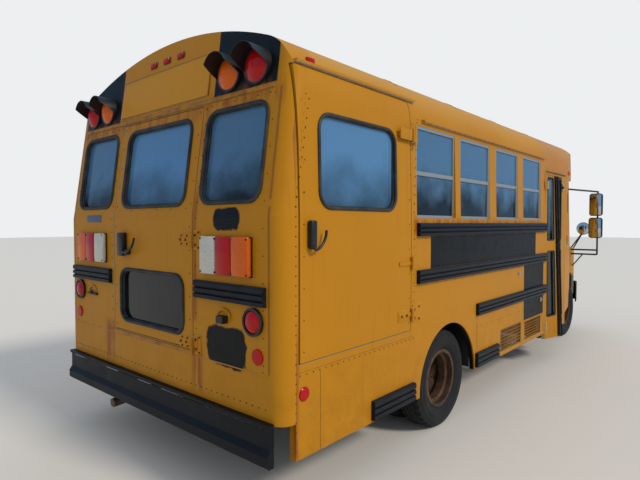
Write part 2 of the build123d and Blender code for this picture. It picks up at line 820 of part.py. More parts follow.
def make_rear_wheel(side):
    """Twin tyres and their rims on one hub, in place."""
    outer_x = rear_wheel_outer_face - tyre_width / 2
    inner_x = outer_x - dual_spacing
    middle = (outer_x + inner_x) / 2
    tyres = [Pos(outer_x, 0, 0) * tyre_solid(), Pos(inner_x, 0, 0) * tyre_solid()]
    outer = Pos(outer_x, 0, 0) * rim_solid(middle - outer_x, 60, 62)
    inner = mirror(outer, about=Plane(origin=(middle, 0, 0), z_dir=(1, 0, 0)))
    hub = rod_x(0, 0, 62, middle - 60, middle + 80)
    drum = rod_x(0, 0, 150, middle - 130, middle - 10) - rod_x(0, 0, 140, middle - 131, middle - 24)
    hub = hub + drum
    hub = hub - rod_x(0, 0, 35, middle - 200, middle - 20)
    rims = outer + inner + hub
    place = Pos(0, rear_axle_y, tyre_radius)
    placed_tyres = [place * tyre for tyre in tyres]
    placed_rims = place * rims
    if side < 0:
        placed_tyres = [mirrored(tyre) for tyre in placed_tyres]
        placed_rims = mirrored(placed_rims)
    return placed_tyres, placed_rims


def make_front_wheel(side):
    """Single tyre and its rim with the hub bored for the spindle, in place."""
    x = front_wheel_outer_face - tyre_width / 2
    rim = rim_solid(15, 40, -12 + 32)
    hub = rod_x(0, 0, 62, -40, 62) - rod_x(0, 0, 25, -41, 52)
    place = Pos(x, front_axle_y, tyre_radius)
    tyre = place * tyre_solid()
    wheel = place * (rim + hub)
    if side < 0:
        tyre = mirrored(tyre)
        wheel = mirrored(wheel)
    return tyre, wheel


def hinge(origin, to_body, outward, height, body_reach, door_reach, sink=0.0):
    """Pin hinge: the body's knuckles with their pin, and the door's knuckle.

    The axis passes through origin, hinge_standoff outside the panel face. The body's plate runs
    from it towards to_body, and the door's plate runs the other way. Both reach sink deeper where
    the panel leans away.
    """
    third = height / 3
    low = -height / 2
    high = height / 2
    plate = (-hinge_standoff - 3 - sink, -hinge_standoff + 7)
    body_part = rod_z(0, 0, hinge_radius, low, high) + block(0, body_reach, *plate, low, high)
    body_part = body_part - rod_z(0, 0, hinge_radius + 1, low + third, high - third)
    body_part = body_part + rod_z(0, 0, hinge_pin, low, high)
    door_part = rod_z(0, 0, hinge_radius, low + third + 1, high - third - 1)
    door_part = door_part + block(-door_reach, 0, *plate, low + third + 1, high - third - 1)
    door_part = door_part - rod_z(0, 0, hinge_pin + pin_clearance, low, high)
    place = Plane(origin=origin, x_dir=to_body, z_dir=Vector(*to_body).cross(Vector(*outward)))
    return place.location * body_part, place.location * door_part


os.makedirs("parts", exist_ok=True)

# Rear emergency door
rear_hinge_x = rear_door_x[1] - seam_gap / 2
rear_door = body_shell & rear_opening(seam_gap)
upper_pane = (-378.0, 378.0, 1677.0, 2199.0)
lower_pane = (-378.0, 378.0, 898.0, 1252.0)
for x0, x1, z0, z1 in (upper_pane, lower_pane):
    rear_door = rear_door - opening_y(x0, x1, z0, z1, window_corner, rear_face - 50, at(300))
rear_wall = make_rear_wall()
for z in (1470.0, 860.0):
    origin = (rear_hinge_x, rear_face - hinge_standoff, z)
    body_part, door_part = hinge(origin, (1, 0, 0), (0, -1, 0), 84, 50, 130)
    rear_wall = rear_wall + body_part
    rear_door = rear_door + door_part
save("rear_wall", rear_wall)
save("rear_door", rear_door)
lever = block(-400, -372, rear_face - 44, rear_face, 1342, 1503)
guard = block(-372, -217, rear_face - 44, rear_face - 30, 1464, 1478)
guard = guard + block(-231, -217, rear_face - 44, rear_face, 1464, 1478)
save("rear_door_handle", lever + guard)


def raked_glass(x0, x1, z0, z1, radius):
    """Flat pane that follows the raked rear face."""
    depth = (wall - glass_thickness) / 2
    pane = body_envelope_slice(depth)
    return pane & opening_y(x0, x1, z0, z1, radius, rear_face - 50, at(300))


def body_envelope_slice(depth):
    """Thin layer of the body shell at a depth below its skin, near the rear."""
    outer = prism_x(rear_profile(depth, skirt_bottom, at(500)), -half_width, half_width)
    depth = depth + glass_thickness
    return outer - prism_x(rear_profile(depth, skirt_bottom - 10, at(510)), -half_width, half_width)


def side_glass(y0, y1, z0, z1, radius, side):
    """Upright pane in the middle of a side wall."""
    x = half_width - tumblehome / 2 - wall / 2
    x0, x1 = span(side, x - glass_thickness / 2, x + glass_thickness / 2)
    return prism_x(rounded(y0, y1, z0, z1, radius), x0, x1)


sash_width = 22.0
sash_depth = 30.0
sash_x = half_width - tumblehome - wall + 12


def sash_frame(y0, y1, side):
    """Aluminium window frame with its meeting rail."""
    x0, x1 = span(side, sash_x, sash_x + sash_depth)
    frame = opening_x(y0, y1, sill_height, header_height, 20, x0, x1)
    for z0, z1 in sash_heights:
        frame = frame - block(x0 - 1, x1 + 1, y0 + sash_width, y1 - sash_width, z0, z1)
    return frame


def sash_panes(y0, y1, side):
    """Upper and lower pane of a window."""
    x = sash_x + sash_depth / 2
    x0, x1 = span(side, x, x + glass_thickness)
    return [block(x0, x1, y0 + sash_width, y1 - sash_width, z0, z1) for z0, z1 in sash_heights]


sash_heights = (
    (sill_height + sash_width, mid_rail_height - 14),
    (mid_rail_height + 14, header_height - sash_width),
)


save("rear_door_glass", raked_glass(*upper_pane, window_corner), raked_glass(*lower_pane, window_corner))

# Lift door
lift_hinge_y = at(lift_door_station[1]) - seam_gap / 2
lift_door = body_shell & lift_opening(seam_gap)
lift_pane = (at(286), at(1025), 1649.0, 2155.0)
lift_door = lift_door - opening_x(*lift_pane, 90, half_width - 200, half_width + 50)
right_wall = make_right_wall()
for z in (2150.0, 1300.0, 955.0):
    setback = tumblehome * max(0.0, z - belt_height) / (eave_height - belt_height)
    origin = (half_width + hinge_standoff, lift_hinge_y, z)
    body_part, door_part = hinge(origin, (0, 1, 0), (1, 0, 0), 84, 60, 150, setback)
    right_wall = right_wall + body_part
    lift_door = lift_door + door_part
lever = block(half_width, half_width + 30, at(175), at(205), 1390, 1560)
hook = block(half_width + 25, half_width + 44, at(175), at(290), 1400, 1414)
hook = hook + block(half_width, half_width + 44, at(276), at(290), 1400, 1414)
save("lift_door", lift_door)
save("lift_door_glass", side_glass(*lift_pane, 90, 1))
save("lift_door_handle", lever + hook)

# Walls, roof and caps
left_wall = make_left_wall()
save("roof_panel", make_roof())
save("rear_cap", make_rear_cap())
front_cap = make_front_cap()
save("front_cap", front_cap)
cab_shell = make_cab_shell()

# Entrance door leaves
leaf_middle = (entrance_station[0] + entrance_station[1]) / 2


def leaf_block(way, gape, hinge_y, depth, reach, heights):
    """Part of an entrance leaf, turned about its hinge more at the bottom than at the top.

    way is 1 for the leaf that runs forward from its hinge and -1 for the other, gape holds its
    angle at the bottom and at the top, and reach runs from the hinge along the leaf.
    """
    low, high = entrance_z
    faces = []
    for z in heights:
        corners = []
        for x, distance in ((0, 0), (1, 0), (1, 1), (0, 1)):
            away = depth[x] - leaf_hinge_x
            along = reach[distance]
            ends = []
            for angle in gape:
                turn = math.radians(angle)
                out = away * math.cos(turn) + along * math.sin(turn)
                ends.append((out, along * math.cos(turn) - away * math.sin(turn)))
            share = (z - low) / (high - low)
            out = ends[0][0] + (ends[1][0] - ends[0][0]) * share
            ahead = ends[0][1] + (ends[1][1] - ends[0][1]) * share
            corners.append((leaf_hinge_x + out, hinge_y + way * ahead))
        faces.append(Pos(0, 0, z) * polygon(*corners))
    return loft(faces, ruled=True)


def leaf_gape_at(gape, z):
    """Angle by which a leaf stands open at a height, in degrees."""
    return gape[0] + (gape[1] - gape[0]) * (z - entrance_z[0]) / (entrance_z[1] - entrance_z[0])


def make_leaf(way, gape, hinge_y):
    """Door leaf with an upper and a lower pane opening, and its two panes."""
    panel = leaf_block(way, gape, hinge_y, leaf_x, leaf_reach, entrance_z)
    pane_reach = (leaf_reach[0] + leaf_border, leaf_reach[1] - leaf_border)
    glass_reach = (pane_reach[0] + pin_clearance, pane_reach[1] - pin_clearance)
    hole_depth = (leaf_x[0] - 10, leaf_x[1] + 10)
    middle = (leaf_x[0] + leaf_x[1]) / 2
    glass_depth = (middle - glass_thickness / 2, middle + glass_thickness / 2)
    panes = []
    for heights in leaf_panes:
        panel = panel - leaf_block(way, gape, hinge_y, hole_depth, pane_reach, heights)
        panes.append(leaf_block(way, gape, hinge_y, glass_depth, glass_reach, heights))
    return panel, panes


leaf_hinge_x = half_width + hinge_standoff
rear_leaf_hinge_y = at(entrance_station[0]) + seam_gap / 2
front_leaf_hinge_y = at(entrance_station[1]) - seam_gap / 2
leaf_reach = (seam_gap / 2, leaf_middle - leaf_gap / 2 - entrance_station[0] - seam_gap / 2)
leaf_border = 40.0
leaf_panes = ((531.0, 1257.0), (1382.0, 2080.0))
# Angles at which the leaves stand off their jambs, at the bottom and at the top
rear_leaf_gape = (13.0, 0.0)
front_leaf_gape = (22.0, 7.0)
door_ends = (at(entrance_station[0]), at(entrance_station[1]) + 1)
cab_shell = cab_shell + block(half_width - wall, half_width - 5, *door_ends, entrance_z[1] + 6, cap_bottom)
rear_leaf, rear_leaf_panes = make_leaf(1, rear_leaf_gape, rear_leaf_hinge_y)
front_leaf, front_leaf_panes = make_leaf(-1, front_leaf_gape, front_leaf_hinge_y)
for z in (1990.0, 430.0):
    origin = (leaf_hinge_x, rear_leaf_hinge_y, z)
    body_part, door_part = hinge(origin, (0, -1, 0), (1, 0, 0), 84, 50, 45)
    right_wall = right_wall + body_part
    rear_leaf = rear_leaf + door_part.rotate(Axis(origin, (0, 0, 1)), -leaf_gape_at(rear_leaf_gape, z))
    origin = (leaf_hinge_x, front_leaf_hinge_y, z)
    body_part, door_part = hinge(origin, (0, 1, 0), (1, 0, 0), 84, 50, 45)
    cab_shell = cab_shell + body_part
    front_leaf = front_leaf + door_part.rotate(Axis(origin, (0, 0, 1)), leaf_gape_at(front_leaf_gape, z))
skirt_y = (at(entrance_station[1]), at(front_post_end))
cab_shell = cab_shell + block(half_width - wall, half_width, *skirt_y, skirt_bottom, 481)
save("right_side_wall", right_wall)
save("entrance_rear_leaf", rear_leaf)
save("entrance_front_leaf", front_leaf)
save("entrance_rear_glass", *rear_leaf_panes)
save("entrance_front_glass", *front_leaf_panes)

# Driver's door
cab_ring = cab_envelope(0, 480, cap_bottom) - cab_envelope(wall, 470, cap_bottom + 1)
driver_door = cab_ring & prism_x(driver_door_face(seam_gap, swing_gap), -1100, -780)
pane_rear = at(4230)
driver_pane = polygon((pane_rear, 1300), (at(5190), 1300), (at(4980), 2020), (pane_rear, 2020))
driver_pane = fillet(driver_pane.vertices(), 40)
driver_door = driver_door - prism_x(driver_pane, -1100, -780)
hinge_y = at(driver_door_station[1]) - seam_gap / 2
for z in (1150.0, 720.0):
    origin = (-cab_half_width - hinge_standoff, hinge_y, z)
    body_part, door_part = hinge(origin, (0, 1, 0), (-1, 0, 0), 84, 38, 60)
    cab_shell = cab_shell + body_part
    driver_door = driver_door + door_part
middle_outer = cab_envelope(18, 480, cap_bottom)
middle_inner = cab_envelope(18 + glass_thickness, 470, cap_bottom + 1)
glass_layer = middle_outer - middle_inner
save("driver_door", driver_door)
save("driver_door_glass", glass_layer & prism_x(driver_pane, -1100, -780))

# Front end
shell = clip_shell()
fenders = make_fenders(shell)
hood = make_hood(shell)
hood_hinge_z = hood_height(hood_rear) + hinge_standoff
for x in (-520.0, 520.0):
    origin = (x, hood_rear + seam_gap / 2, hood_hinge_z)
    body_part, door_part = hinge(origin, (0, -1, 0), (0, 0, 1), 84, 45, 60)
    fenders = fenders + body_part
    hood = hood + door_part
save("front_fenders", fenders)
save("hood", hood)
save("front_grille", make_grille())
save("headlamps", *make_headlamps())
save("front_bumper", make_front_bumper())
save("rear_bumper", make_rear_bumper())
save("cab_shell", cab_shell)

# Split-sash windows and the glass fixed in the body
fixed_glass = []
sash_frames = []
for side, windows in ((1, right_windows), (-1, left_windows)):
    for start, end in windows:
        sash_frames.append(sash_frame(at(start), at(end), side))
        fixed_glass.extend(sash_panes(at(start), at(end), side))
save("window_frames", *sash_frames)
inner_x, outer_x, sill, head = rear_window
for side in (1, -1):
    x0, x1 = span(side, inner_x, outer_x)
    fixed_glass.append(raked_glass(x0, x1, sill, head, window_corner))
fixed_glass.append(glass_layer & windscreen_cut(0))
save("window_glass", *fixed_glass)

floor = make_floor()
save("chassis_frame", make_chassis())
save("floor_deck", floor)
save("rear_axle", make_rear_axle())
save("front_axle", make_front_axle())
for name, side in (("right", 1), ("left", -1)):
    save(name + "_knuckle", make_knuckle(side))
    tyres, rims = make_rear_wheel(side)
    save("rear_" + name + "_tyres", *tyres)
    save("rear_" + name + "_rims", rims)
    tyre, rim = make_front_wheel(side)
    save("front_" + name + "_tyre", tyre)
    save("front_" + name + "_rim", rim)
engine = block(-290, 290, at(5410), at(6180), 480, 1060)
mount_reach = rail_x - rail_thickness
save("engine_block", engine + block(-mount_reach, mount_reach, at(5700), at(5760), 600, 690))


rail_proud = 28.0


def rub_rail(y0, y1, z0, z1, side):
    """Ribbed guard rail along a side: three long ribs on a plate."""
    face = polygon(*rail_outline(z0, z1))
    rail = prism_y(face, y0, y1)
    rail = Pos(half_width, 0, 0) * rail
    return rail if side > 0 else mirrored(rail)


def rail_outline(z0, z1):
    """Section of a guard rail: a plate with three ribs."""
    height = z1 - z0
    points = [(0, z0)]
    for rib in range(3):
        low = z0 + height * rib / 3
        high = z0 + height * (rib + 1) / 3
        points.append((rail_proud, low + 4))
        points.append((rail_proud, high - 10))
        if rib < 2:
            points.append((rail_proud - 12, high - 4))
            points.append((rail_proud - 12, high))
    points.append((rail_proud - 6, z1))
    points.append((0, z1))
    return points


# Guard rails: side, start, end, bottom, top
side_rails = (
    (1, 1290, 4050, 1478, 1570),
    (1, 1290, 4050, 1151, 1245),
    (1, 2260, 4050, 800, 898),
    (1, 2250, 2718, 365, 485),
    (1, 760, 1249, 365, 485),
    (-1, 120, 4040, 1478, 1570),
    (-1, 120, 4040, 1151, 1245),
    (-1, 2260, 4040, 800, 898),
    (-1, 120, 1320, 800, 898),
    (-1, 2250, 4040, 365, 485),
    (-1, 120, 1320, 365, 485),
)
rails = [rub_rail(at(start), at(end), z0, z1, side) for side, start, end, z0, z1 in side_rails]
for side in (1, -1):
    x0, x1 = span(side, 513, 1107)
    flat = polygon(*rail_outline(1139, 1241))
    bar = Plane(origin=(x0, rear_face, 0), x_dir=(0, -1, 0), z_dir=(-1, 0, 0)).location * flat
    rails.append(extrude(bar, amount=-(x1 - x0)))
save("rub_rails", *rails)

# Perforated skirt grilles
screens = []
for start, end, z0, z1, uprights, levels in skirt_grilles:
    y0 = at(start)
    y1 = at(end)
    x0 = half_width - 12
    screen = block(x0, x0 + 8, y0, y1, z0, z1) - block(x0 - 1, x0 + 9, y0 + 14, y1 - 14, z0 + 14, z1 - 14)
    for step in range(uprights):
        y = y0 + 14 + (y1 - y0 - 28) * (step + 1) / (uprights + 1)
        screen = screen + block(x0 + 1, x0 + 5, y - 4, y + 4, z0 + 10, z1 - 10)
    for step in range(levels):
        z = z0 + 14 + (z1 - z0 - 28) * (step + 1) / (levels + 1)
        screen = screen + block(x0 + 3, x0 + 7, y0 + 10, y1 - 10, z - 4, z + 4)
    screens.append(screen)
save("skirt_grilles", *screens)

# Lamps: housings with visors, and their lenses
housings = []
lenses = []
warning_z = 2408.0
warning_radius = 89.0
warning_reach = 125.0


def warning_lamp(x, y_face, z, way):
    """Round warning lamp with a tube visor; way is -1 for the rear and 1 for the front."""
    y_back = y_face - way * 60
    y_lens = y_face + way * 25
    y_tip = y_face + way * warning_reach
    body = rod_y(x, z, warning_radius + 11, min(y_back, y_lens), max(y_back, y_lens))
    tube = rod_y(x, z, warning_radius + 11, min(y_lens, y_tip), max(y_lens, y_tip))
    tube = tube - rod_y(x, z, warning_radius + 8, min(y_lens, y_tip) - 1, max(y_lens, y_tip) + 1)
    slope = polygon((y_lens, z - 15), (y_tip + way, z + 45), (y_tip + way, z - 200), (y_lens, z - 200))
    tube = tube - prism_x(slope, x - 200, x + 200)
    lens = revolve(
        Plane.YZ * polygon((0, 0), (30, 0), (26, 40), (14, 70), (0, warning_radius)), Axis.Y, 360
    )
    if way < 0:
        lens = mirror(lens, about=Plane.XZ)
    return body + tube, Pos(x, y_lens, z) * lens


rear_slope_y = rear_face + rear_rake_slope * (warning_z - belt_height)
for x in (935.0, 700.0, -735.0, -965.0):
    housing, lens = warning_lamp(x, rear_slope_y, warning_z, -1)
    housings.append(housing - body_outer)
    lenses.append(lens)
for x in (838.0, 632.0, -632.0, -838.0):
    housing, lens = warning_lamp(x, at(5455), 2330.0, 1)
    housings.append(housing - cap_envelope(0, cap_bottom))
    lenses.append(lens)

for side in (1, -1):
    # Tail-lamp cluster: a frame round three square lenses
    x0, x1 = span(side, 586, 1005)
    frame = block(x0, x1, rear_face - 22, rear_face, 1285, 1495)
    for inner in (596, 733, 870):
        l0, l1 = span(side, inner, inner + 125)
        frame = frame - block(l0, l1, rear_face - 23, rear_face - 6, 1297, 1483)
        lenses.append(block(l0, l1, rear_face - 32, rear_face - 6, 1297, 1483))
    housings.append(frame)
    # Round stop lamp, and the rear and side reflectors
    x = side * 1014
    ring = rod_y(x, 1056, 74, rear_face - 18, rear_face) - rod_y(x, 1056, 62, rear_face - 19, rear_face - 6)
    housings.append(ring)
    lenses.append(rod_y(x, 1056, 62, rear_face - 26, rear_face - 6))
    lenses.append(rod_y(side * 1043, 878, 43, rear_face - 10, rear_face))
    lenses.append(rod_x(at(159), 686, 38, *span(side, half_width, half_width + 9)))
housings.append(block(744, 800, rear_face - 40, rear_face, 1022, 1062))
save("lamp_housings", *housings)
save("lamp_lenses", *lenses)



def bar_between(start, end, radius):
    """Round bar between two points."""
    run = Vector(*end) - Vector(*start)
    return extrude(Plane(origin=start, z_dir=run) * Circle(radius), amount=run.length)


def mirror_head(x0, z0, z1):
    """Upright mirror head facing back, with a chamfered housing."""
    y0 = mirror_y - 48
    y1 = mirror_y + 14
    head = prism_y(rounded(x0, mirror_reach, z0, z1, 34), y0, y1)
    return chamfer(head.faces().sort_by(Axis.Y)[-1].edges(), 20)


def tripod_mirror():
    """Right mirror frame: a post with two heads on a loop and a brace from the wing."""
    foot_x = cab_half_width - 20
    frame = rod_z(mirror_post_x, mirror_y, 11, 1145, 2008)
    for z in (1145.0, 1205.0):
        frame = frame + rod_x(mirror_y, z, 11, foot_x, mirror_post_x)
    frame = frame + bar_between((1160, mirror_y, 1145), (foot_x, mirror_y + 90, 950), 8)
    frame = frame + mirror_head(1242, 1672, 1975) + mirror_head(1236, 1372, 1648)
    return frame - clip_solid


def wing_mirror():
    """Right convex mirror: a dome facing back on two struts from the wing."""
    x = 1042.0
    y = at(6400)
    z = 1494.0
    edges = [
        ThreePointArc((0, -46), (52, -35), (92, 0)),
        Line((92, 0), (92, 8)),
        Line((92, 8), (50, 34)),
        Line((50, 34), (0, 34)),
        Line((0, 34), (0, -46)),
    ]
    dome = Pos(x, y, z) * revolve(make_face(edges), Axis.Y, 360)
    for foot in ((860, at(6230), 1120), (840, at(6380), 1060)):
        dome = dome + bar_between(foot, (x, y + 20, z - 40), 9)
    return dome - clip_solid


# Mirrors on their arms, and convex mirrors on the wings
mirror_y = at(5900)
mirror_post_x = 1335.0
cab_solid = cab_envelope(0, 480, cap_bottom)
clip_solid = prism_x(clip_profile(0), -cab_half_width, cab_half_width) & prism_z(clip_plan(0), 490, 1300)
frame = tripod_mirror()
right_arm = bar_between((1130, at(5020), 2004), (mirror_post_x, mirror_y, 2000), 11)
left_arm = bar_between((-860, at(5090), 1970), (-mirror_post_x, mirror_y, 2000), 11)
right_mirror = frame + (right_arm - cab_solid)
left_mirror = mirrored(frame) + (left_arm - cab_solid)
wing = wing_mirror()
save("mirrors", right_mirror, left_mirror, wing, mirrored(wing))

# Seats: row stations for the left and right benches
bench_width = 960.0
bench_depth = 400.0
seat_height = 1270.0
back_top = 1900.0
bench_rows = tuple((-1, station) for station in (700, 1400, 2135, 2820, 3500))
bench_rows = bench_rows + tuple((1, station) for station in (2135, 2820, 3500))
benches = []
frames = []
for side, station in bench_rows:
    outer = half_width - wall - 25
    x0, x1 = span(side, outer - bench_width, outer)
    y0 = at(station)
    benches.append(block(x0, x1, y0 + 90, y0 + 90 + bench_depth, seat_height - 130, seat_height))
    low = seat_height - 130
    back = polygon(
        (y0 + 40, low), (y0 + 90, low), (y0 + 90, seat_height), (y0 + 50, back_top), (y0 - 20, back_top)
    )
    benches.append(prism_x(back, x0, x1))
    tray_z = (seat_height - 160, seat_height - 130)
    frame = block(*span(side, outer - bench_width + 20, half_width - wall), y0 + 110, y0 + 460, *tray_z)
    leg_x = span(side, outer - bench_width + 60, outer - bench_width + 100)
    for y in (y0 + 130, y0 + 400):
        frame = frame + block(*leg_x, y, y + 40, floor_top, tray_z[0] + 10)
    frames.append(frame)
save("passenger_seats", *benches)
save("seat_frames", *frames)

driver_x = -470.0
driver = block(driver_x - 250, driver_x + 250, at(4290), at(4760), 1080, 1190)
back_points = ((4200, 1090), (4290, 1090), (4290, 1185), (4200, 1850), (4110, 1850))
back_outline = polygon(*((at(station), z) for station, z in back_points))
driver_back = prism_x(back_outline, driver_x - 240, driver_x + 240)
base = block(driver_x - 190, driver_x + 190, at(4330), at(4700), floor_top, 1080)
save("driver_seat", driver, driver_back, base)

# Dashboard, engine cover and steering column
wheel_centre = Vector(driver_x, at(4930), 1340)
wheel_axis = Vector(0, -math.cos(math.radians(50)), math.sin(math.radians(50)))
dash_points = ((5180, 1000), (5165, 1200), (5230, 1262), (5400, 1262), (5400, 1000))
dash_outline = polygon(*((at(station), z) for station, z in dash_points))
dash = prism_x(dash_outline, -half_width, half_width) & cab_envelope(wall + 3, 470, cap_bottom + 1)
cover = block(-345, 345, at(4890), at(5400), floor_top, 1090)
cover = cover - block(-325, 325, at(5000), at(5401), floor_top - 1, 1075)
column_length = 430.0
column_end = wheel_centre - wheel_axis * column_length
column = extrude(Plane(origin=column_end, z_dir=wheel_axis) * Circle(28), amount=column_length - 26)
save("dashboard", dash + cover + column)
wheel_place = Plane(origin=wheel_centre, x_dir=(1, 0, 0), z_dir=wheel_axis).location
ring = Torus(195, 15)
hub = Cylinder(45, 50)
spokes = Box(370, 34, 14) + Pos(0, -95, 0) * Box(34, 190, 14)
save("steering_wheel", wheel_place * (ring + hub + spokes))

# Wheelchair lift, folded upright inside its doorway
lift_x = (1050.0, 1130.0)
lift = None
for station in (240.0, 1040.0):
    post = block(*lift_x, at(station), at(station + 70), floor_top, 2020)
    lift = post if lift is None else lift + post
lift = lift + block(*lift_x, at(240), at(1110), 1980, 2040)
lift = lift + block(1060, 1120, at(240), at(1110), floor_top, 900)
platform = block(1085, 1110, at(320), at(1030), 900, 1760)
for level in range(4):
    z = 980.0 + level * 190
    platform = platform - block(1080, 1115, at(370), at(980), z, z + 150)
lift = lift + platform
for z in (1500.0, 1850.0):
    lift = lift + rod_y(1090, z, 16, at(300), at(1050))
save("wheelchair_lift", lift)

# Fuel tank on the left, exhaust on the right
tank = prism_x(rounded(at(2560), at(3560), 400, rail_bottom + rail_height, 70), -1080, -520)
save("fuel_tank", tank)
pipe_radius = 32.0
muffler_x = 240.0
muffler_z = 470.0
tail_pipe_x = -462.0
muffler = rod_y(muffler_x, muffler_z, 95, at(2700), at(3350))
front_pipe = rod_y(muffler_x, muffler_z, pipe_radius, at(3340), at(5310))
tail_route = FilletPolyline(
    (muffler_x, at(2710), muffler_z),
    (muffler_x, at(2350), muffler_z),
    (muffler_x, at(2150), 545),
    (muffler_x, at(1400), 545),
    (muffler_x - 40, at(1150), 470),
    (tail_pipe_x, at(600), 400),
    (tail_pipe_x, at(300), 320),
    (tail_pipe_x, at(-35), 290),
    radius=60,
)
tail_pipe = sweep(Plane(origin=tail_route @ 0, z_dir=tail_route % 0) * Circle(pipe_radius), path=tail_route)
hanger = block(muffler_x - 10, muffler_x + 10, at(3000), at(3030), muffler_z + 85, rail_bottom + 40)
hanger = hanger + block(muffler_x - 10, rail_x - 20, at(3000), at(3030), rail_bottom - 20, rail_bottom)
save("exhaust", muffler + front_pipe + tail_pipe + hanger)

# Stop arm: blank octagon, folded back along the left side
arm_size = 450.0
arm_hinge_y = at(3960)
arm_x = -half_width - rail_proud - 22
octagon = RegularPolygon(arm_size / 2, 8, major_radius=False, rotation=22.5)
stop_centre_y = arm_hinge_y - 90 - arm_size / 2
stop_plate = prism_x(Pos(stop_centre_y, 1365) * octagon, arm_x - 6, arm_x + 6)
stop_plate = stop_plate + block(arm_x - 6, arm_x + 6, arm_hinge_y - 110, arm_hinge_y - 12, 1335, 1395)
eye = rod_z(arm_x, arm_hinge_y, 14, 1330, 1400) - rod_z(arm_x, arm_hinge_y, 8 + pin_clearance, 1300, 1420)
stop_plate = stop_plate + block(arm_x - 6, arm_x + 6, arm_hinge_y - 30, arm_hinge_y - 10, 1330, 1400) + eye
save("stop_arm", stop_plate)
bracket = block(arm_x - 14, -half_width, arm_hinge_y - 16, arm_hinge_y + 30, 1402, 1412)
bracket = bracket + block(arm_x - 14, -half_width, arm_hinge_y - 16, arm_hinge_y + 30, 1318, 1328)
bracket = bracket + rod_z(arm_x, arm_hinge_y, 8, 1320, 1410)
bracket = bracket + block(-half_width - 8, -half_width, arm_hinge_y - 16, arm_hinge_y + 30, 1300, 1430)
save("left_side_wall", left_wall + bracket)
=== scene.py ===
"""Looks of a short school bus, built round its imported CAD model.

Everything is in metres in the part's frame: +X is the bus's right side, +Y is forward and Z = 0 is
the ground. A station is a place in millimetres forward from the rear face. The classes below are the
sub-assemblies; main() builds them in order.
"""

import json
import logging
import math
from dataclasses import dataclass, field
from enum import Enum
from typing import Any, Callable, Iterable, Optional, Sequence

import bmesh
import bpy
from mathutils import Matrix, Vector

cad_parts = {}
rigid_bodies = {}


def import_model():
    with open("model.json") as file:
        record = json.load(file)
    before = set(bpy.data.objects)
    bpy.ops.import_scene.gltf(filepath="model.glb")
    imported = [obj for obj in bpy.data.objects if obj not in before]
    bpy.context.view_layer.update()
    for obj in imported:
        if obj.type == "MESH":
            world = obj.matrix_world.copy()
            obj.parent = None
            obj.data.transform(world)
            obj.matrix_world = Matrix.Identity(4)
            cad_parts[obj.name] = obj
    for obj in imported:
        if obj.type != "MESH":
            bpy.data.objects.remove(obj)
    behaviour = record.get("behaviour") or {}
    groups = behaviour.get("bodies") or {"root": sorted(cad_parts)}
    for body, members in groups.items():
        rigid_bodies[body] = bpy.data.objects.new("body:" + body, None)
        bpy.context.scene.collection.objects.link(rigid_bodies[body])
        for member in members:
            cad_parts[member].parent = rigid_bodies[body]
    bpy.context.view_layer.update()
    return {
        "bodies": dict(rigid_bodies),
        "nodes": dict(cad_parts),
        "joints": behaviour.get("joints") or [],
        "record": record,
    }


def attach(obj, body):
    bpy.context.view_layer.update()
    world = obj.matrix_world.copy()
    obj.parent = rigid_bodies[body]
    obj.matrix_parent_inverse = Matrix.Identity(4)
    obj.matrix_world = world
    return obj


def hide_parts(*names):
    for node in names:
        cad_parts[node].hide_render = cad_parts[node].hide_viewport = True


LOG = logging.getLogger("school_bus")

Point = tuple[float, float, float]
Pair = tuple[float, float]
Pane = tuple[float, float, float, float]
Row = tuple[float, float, float, float, float, float]

REAR_FACE = -3.2775
HALF_WIDTH = 1.219
TUMBLEHOME = 0.015
BELT = 1.600
EAVE = 2.244
SHOULDER = 0.350
CROWN_RADIUS = 2.700
RAKE = 0.14
AXLE_HEIGHT = 0.3725
RIVET_LIFT = 0.001
ROOF_LAMP_X = (-0.16, 0.0, 0.16)
ROOF_LAMP_Z = 2.640
CLUSTER_Z: Pair = (1.297, 1.483)
SCREEN_Z: Pair = (1.240, 2.128)

RIGHTWARD: Point = (1.0, 0.0, 0.0)
FORWARD: Point = (0.0, 1.0, 0.0)
REARWARD: Point = (0.0, -1.0, 0.0)
UPWARD: Point = (0.0, 0.0, 1.0)


def at(station: float) -> float:
    """Y of a place given in millimetres forward from the rear face."""
    return REAR_FACE + station / 1000.0


def rear_y(z: float) -> float:
    """Y of the rear skin at a height."""
    return REAR_FACE + RAKE * max(0.0, z - BELT)


def side_x(z: float) -> float:
    """X of the right side's skin at a height, up to the shoulder.

    Args:
        z: The height.

    Returns:
        Distance of the skin from the centre plane.
    """
    if z <= EAVE:
        return HALF_WIDTH - TUMBLEHOME * max(0.0, z - BELT) / (EAVE - BELT)
    rise = min(z - EAVE, SHOULDER * 0.93)
    return HALF_WIDTH - TUMBLEHOME - SHOULDER + math.sqrt(SHOULDER**2 - rise**2)


def roof_z(x: float) -> float:
    """Height of the roof's skin, which is a wide crown between two shoulder arcs.

    Args:
        x: Distance from the centre plane.

    Returns:
        The skin's height.
    """
    shoulder_x = HALF_WIDTH - TUMBLEHOME - SHOULDER
    lean = math.asin(shoulder_x / (CROWN_RADIUS - SHOULDER))
    if abs(x) > shoulder_x + SHOULDER * math.sin(lean):
        return EAVE + math.sqrt(max(0.0, SHOULDER**2 - (abs(x) - shoulder_x) ** 2))
    centre = EAVE - (CROWN_RADIUS - SHOULDER) * math.cos(lean)
    return centre + math.sqrt(CROWN_RADIUS**2 - x**2)


def per_metre(millimetres: float) -> float:
    """Texture scale that repeats a pattern of a real size, as repeats in a metre."""
    return 1000.0 / millimetres


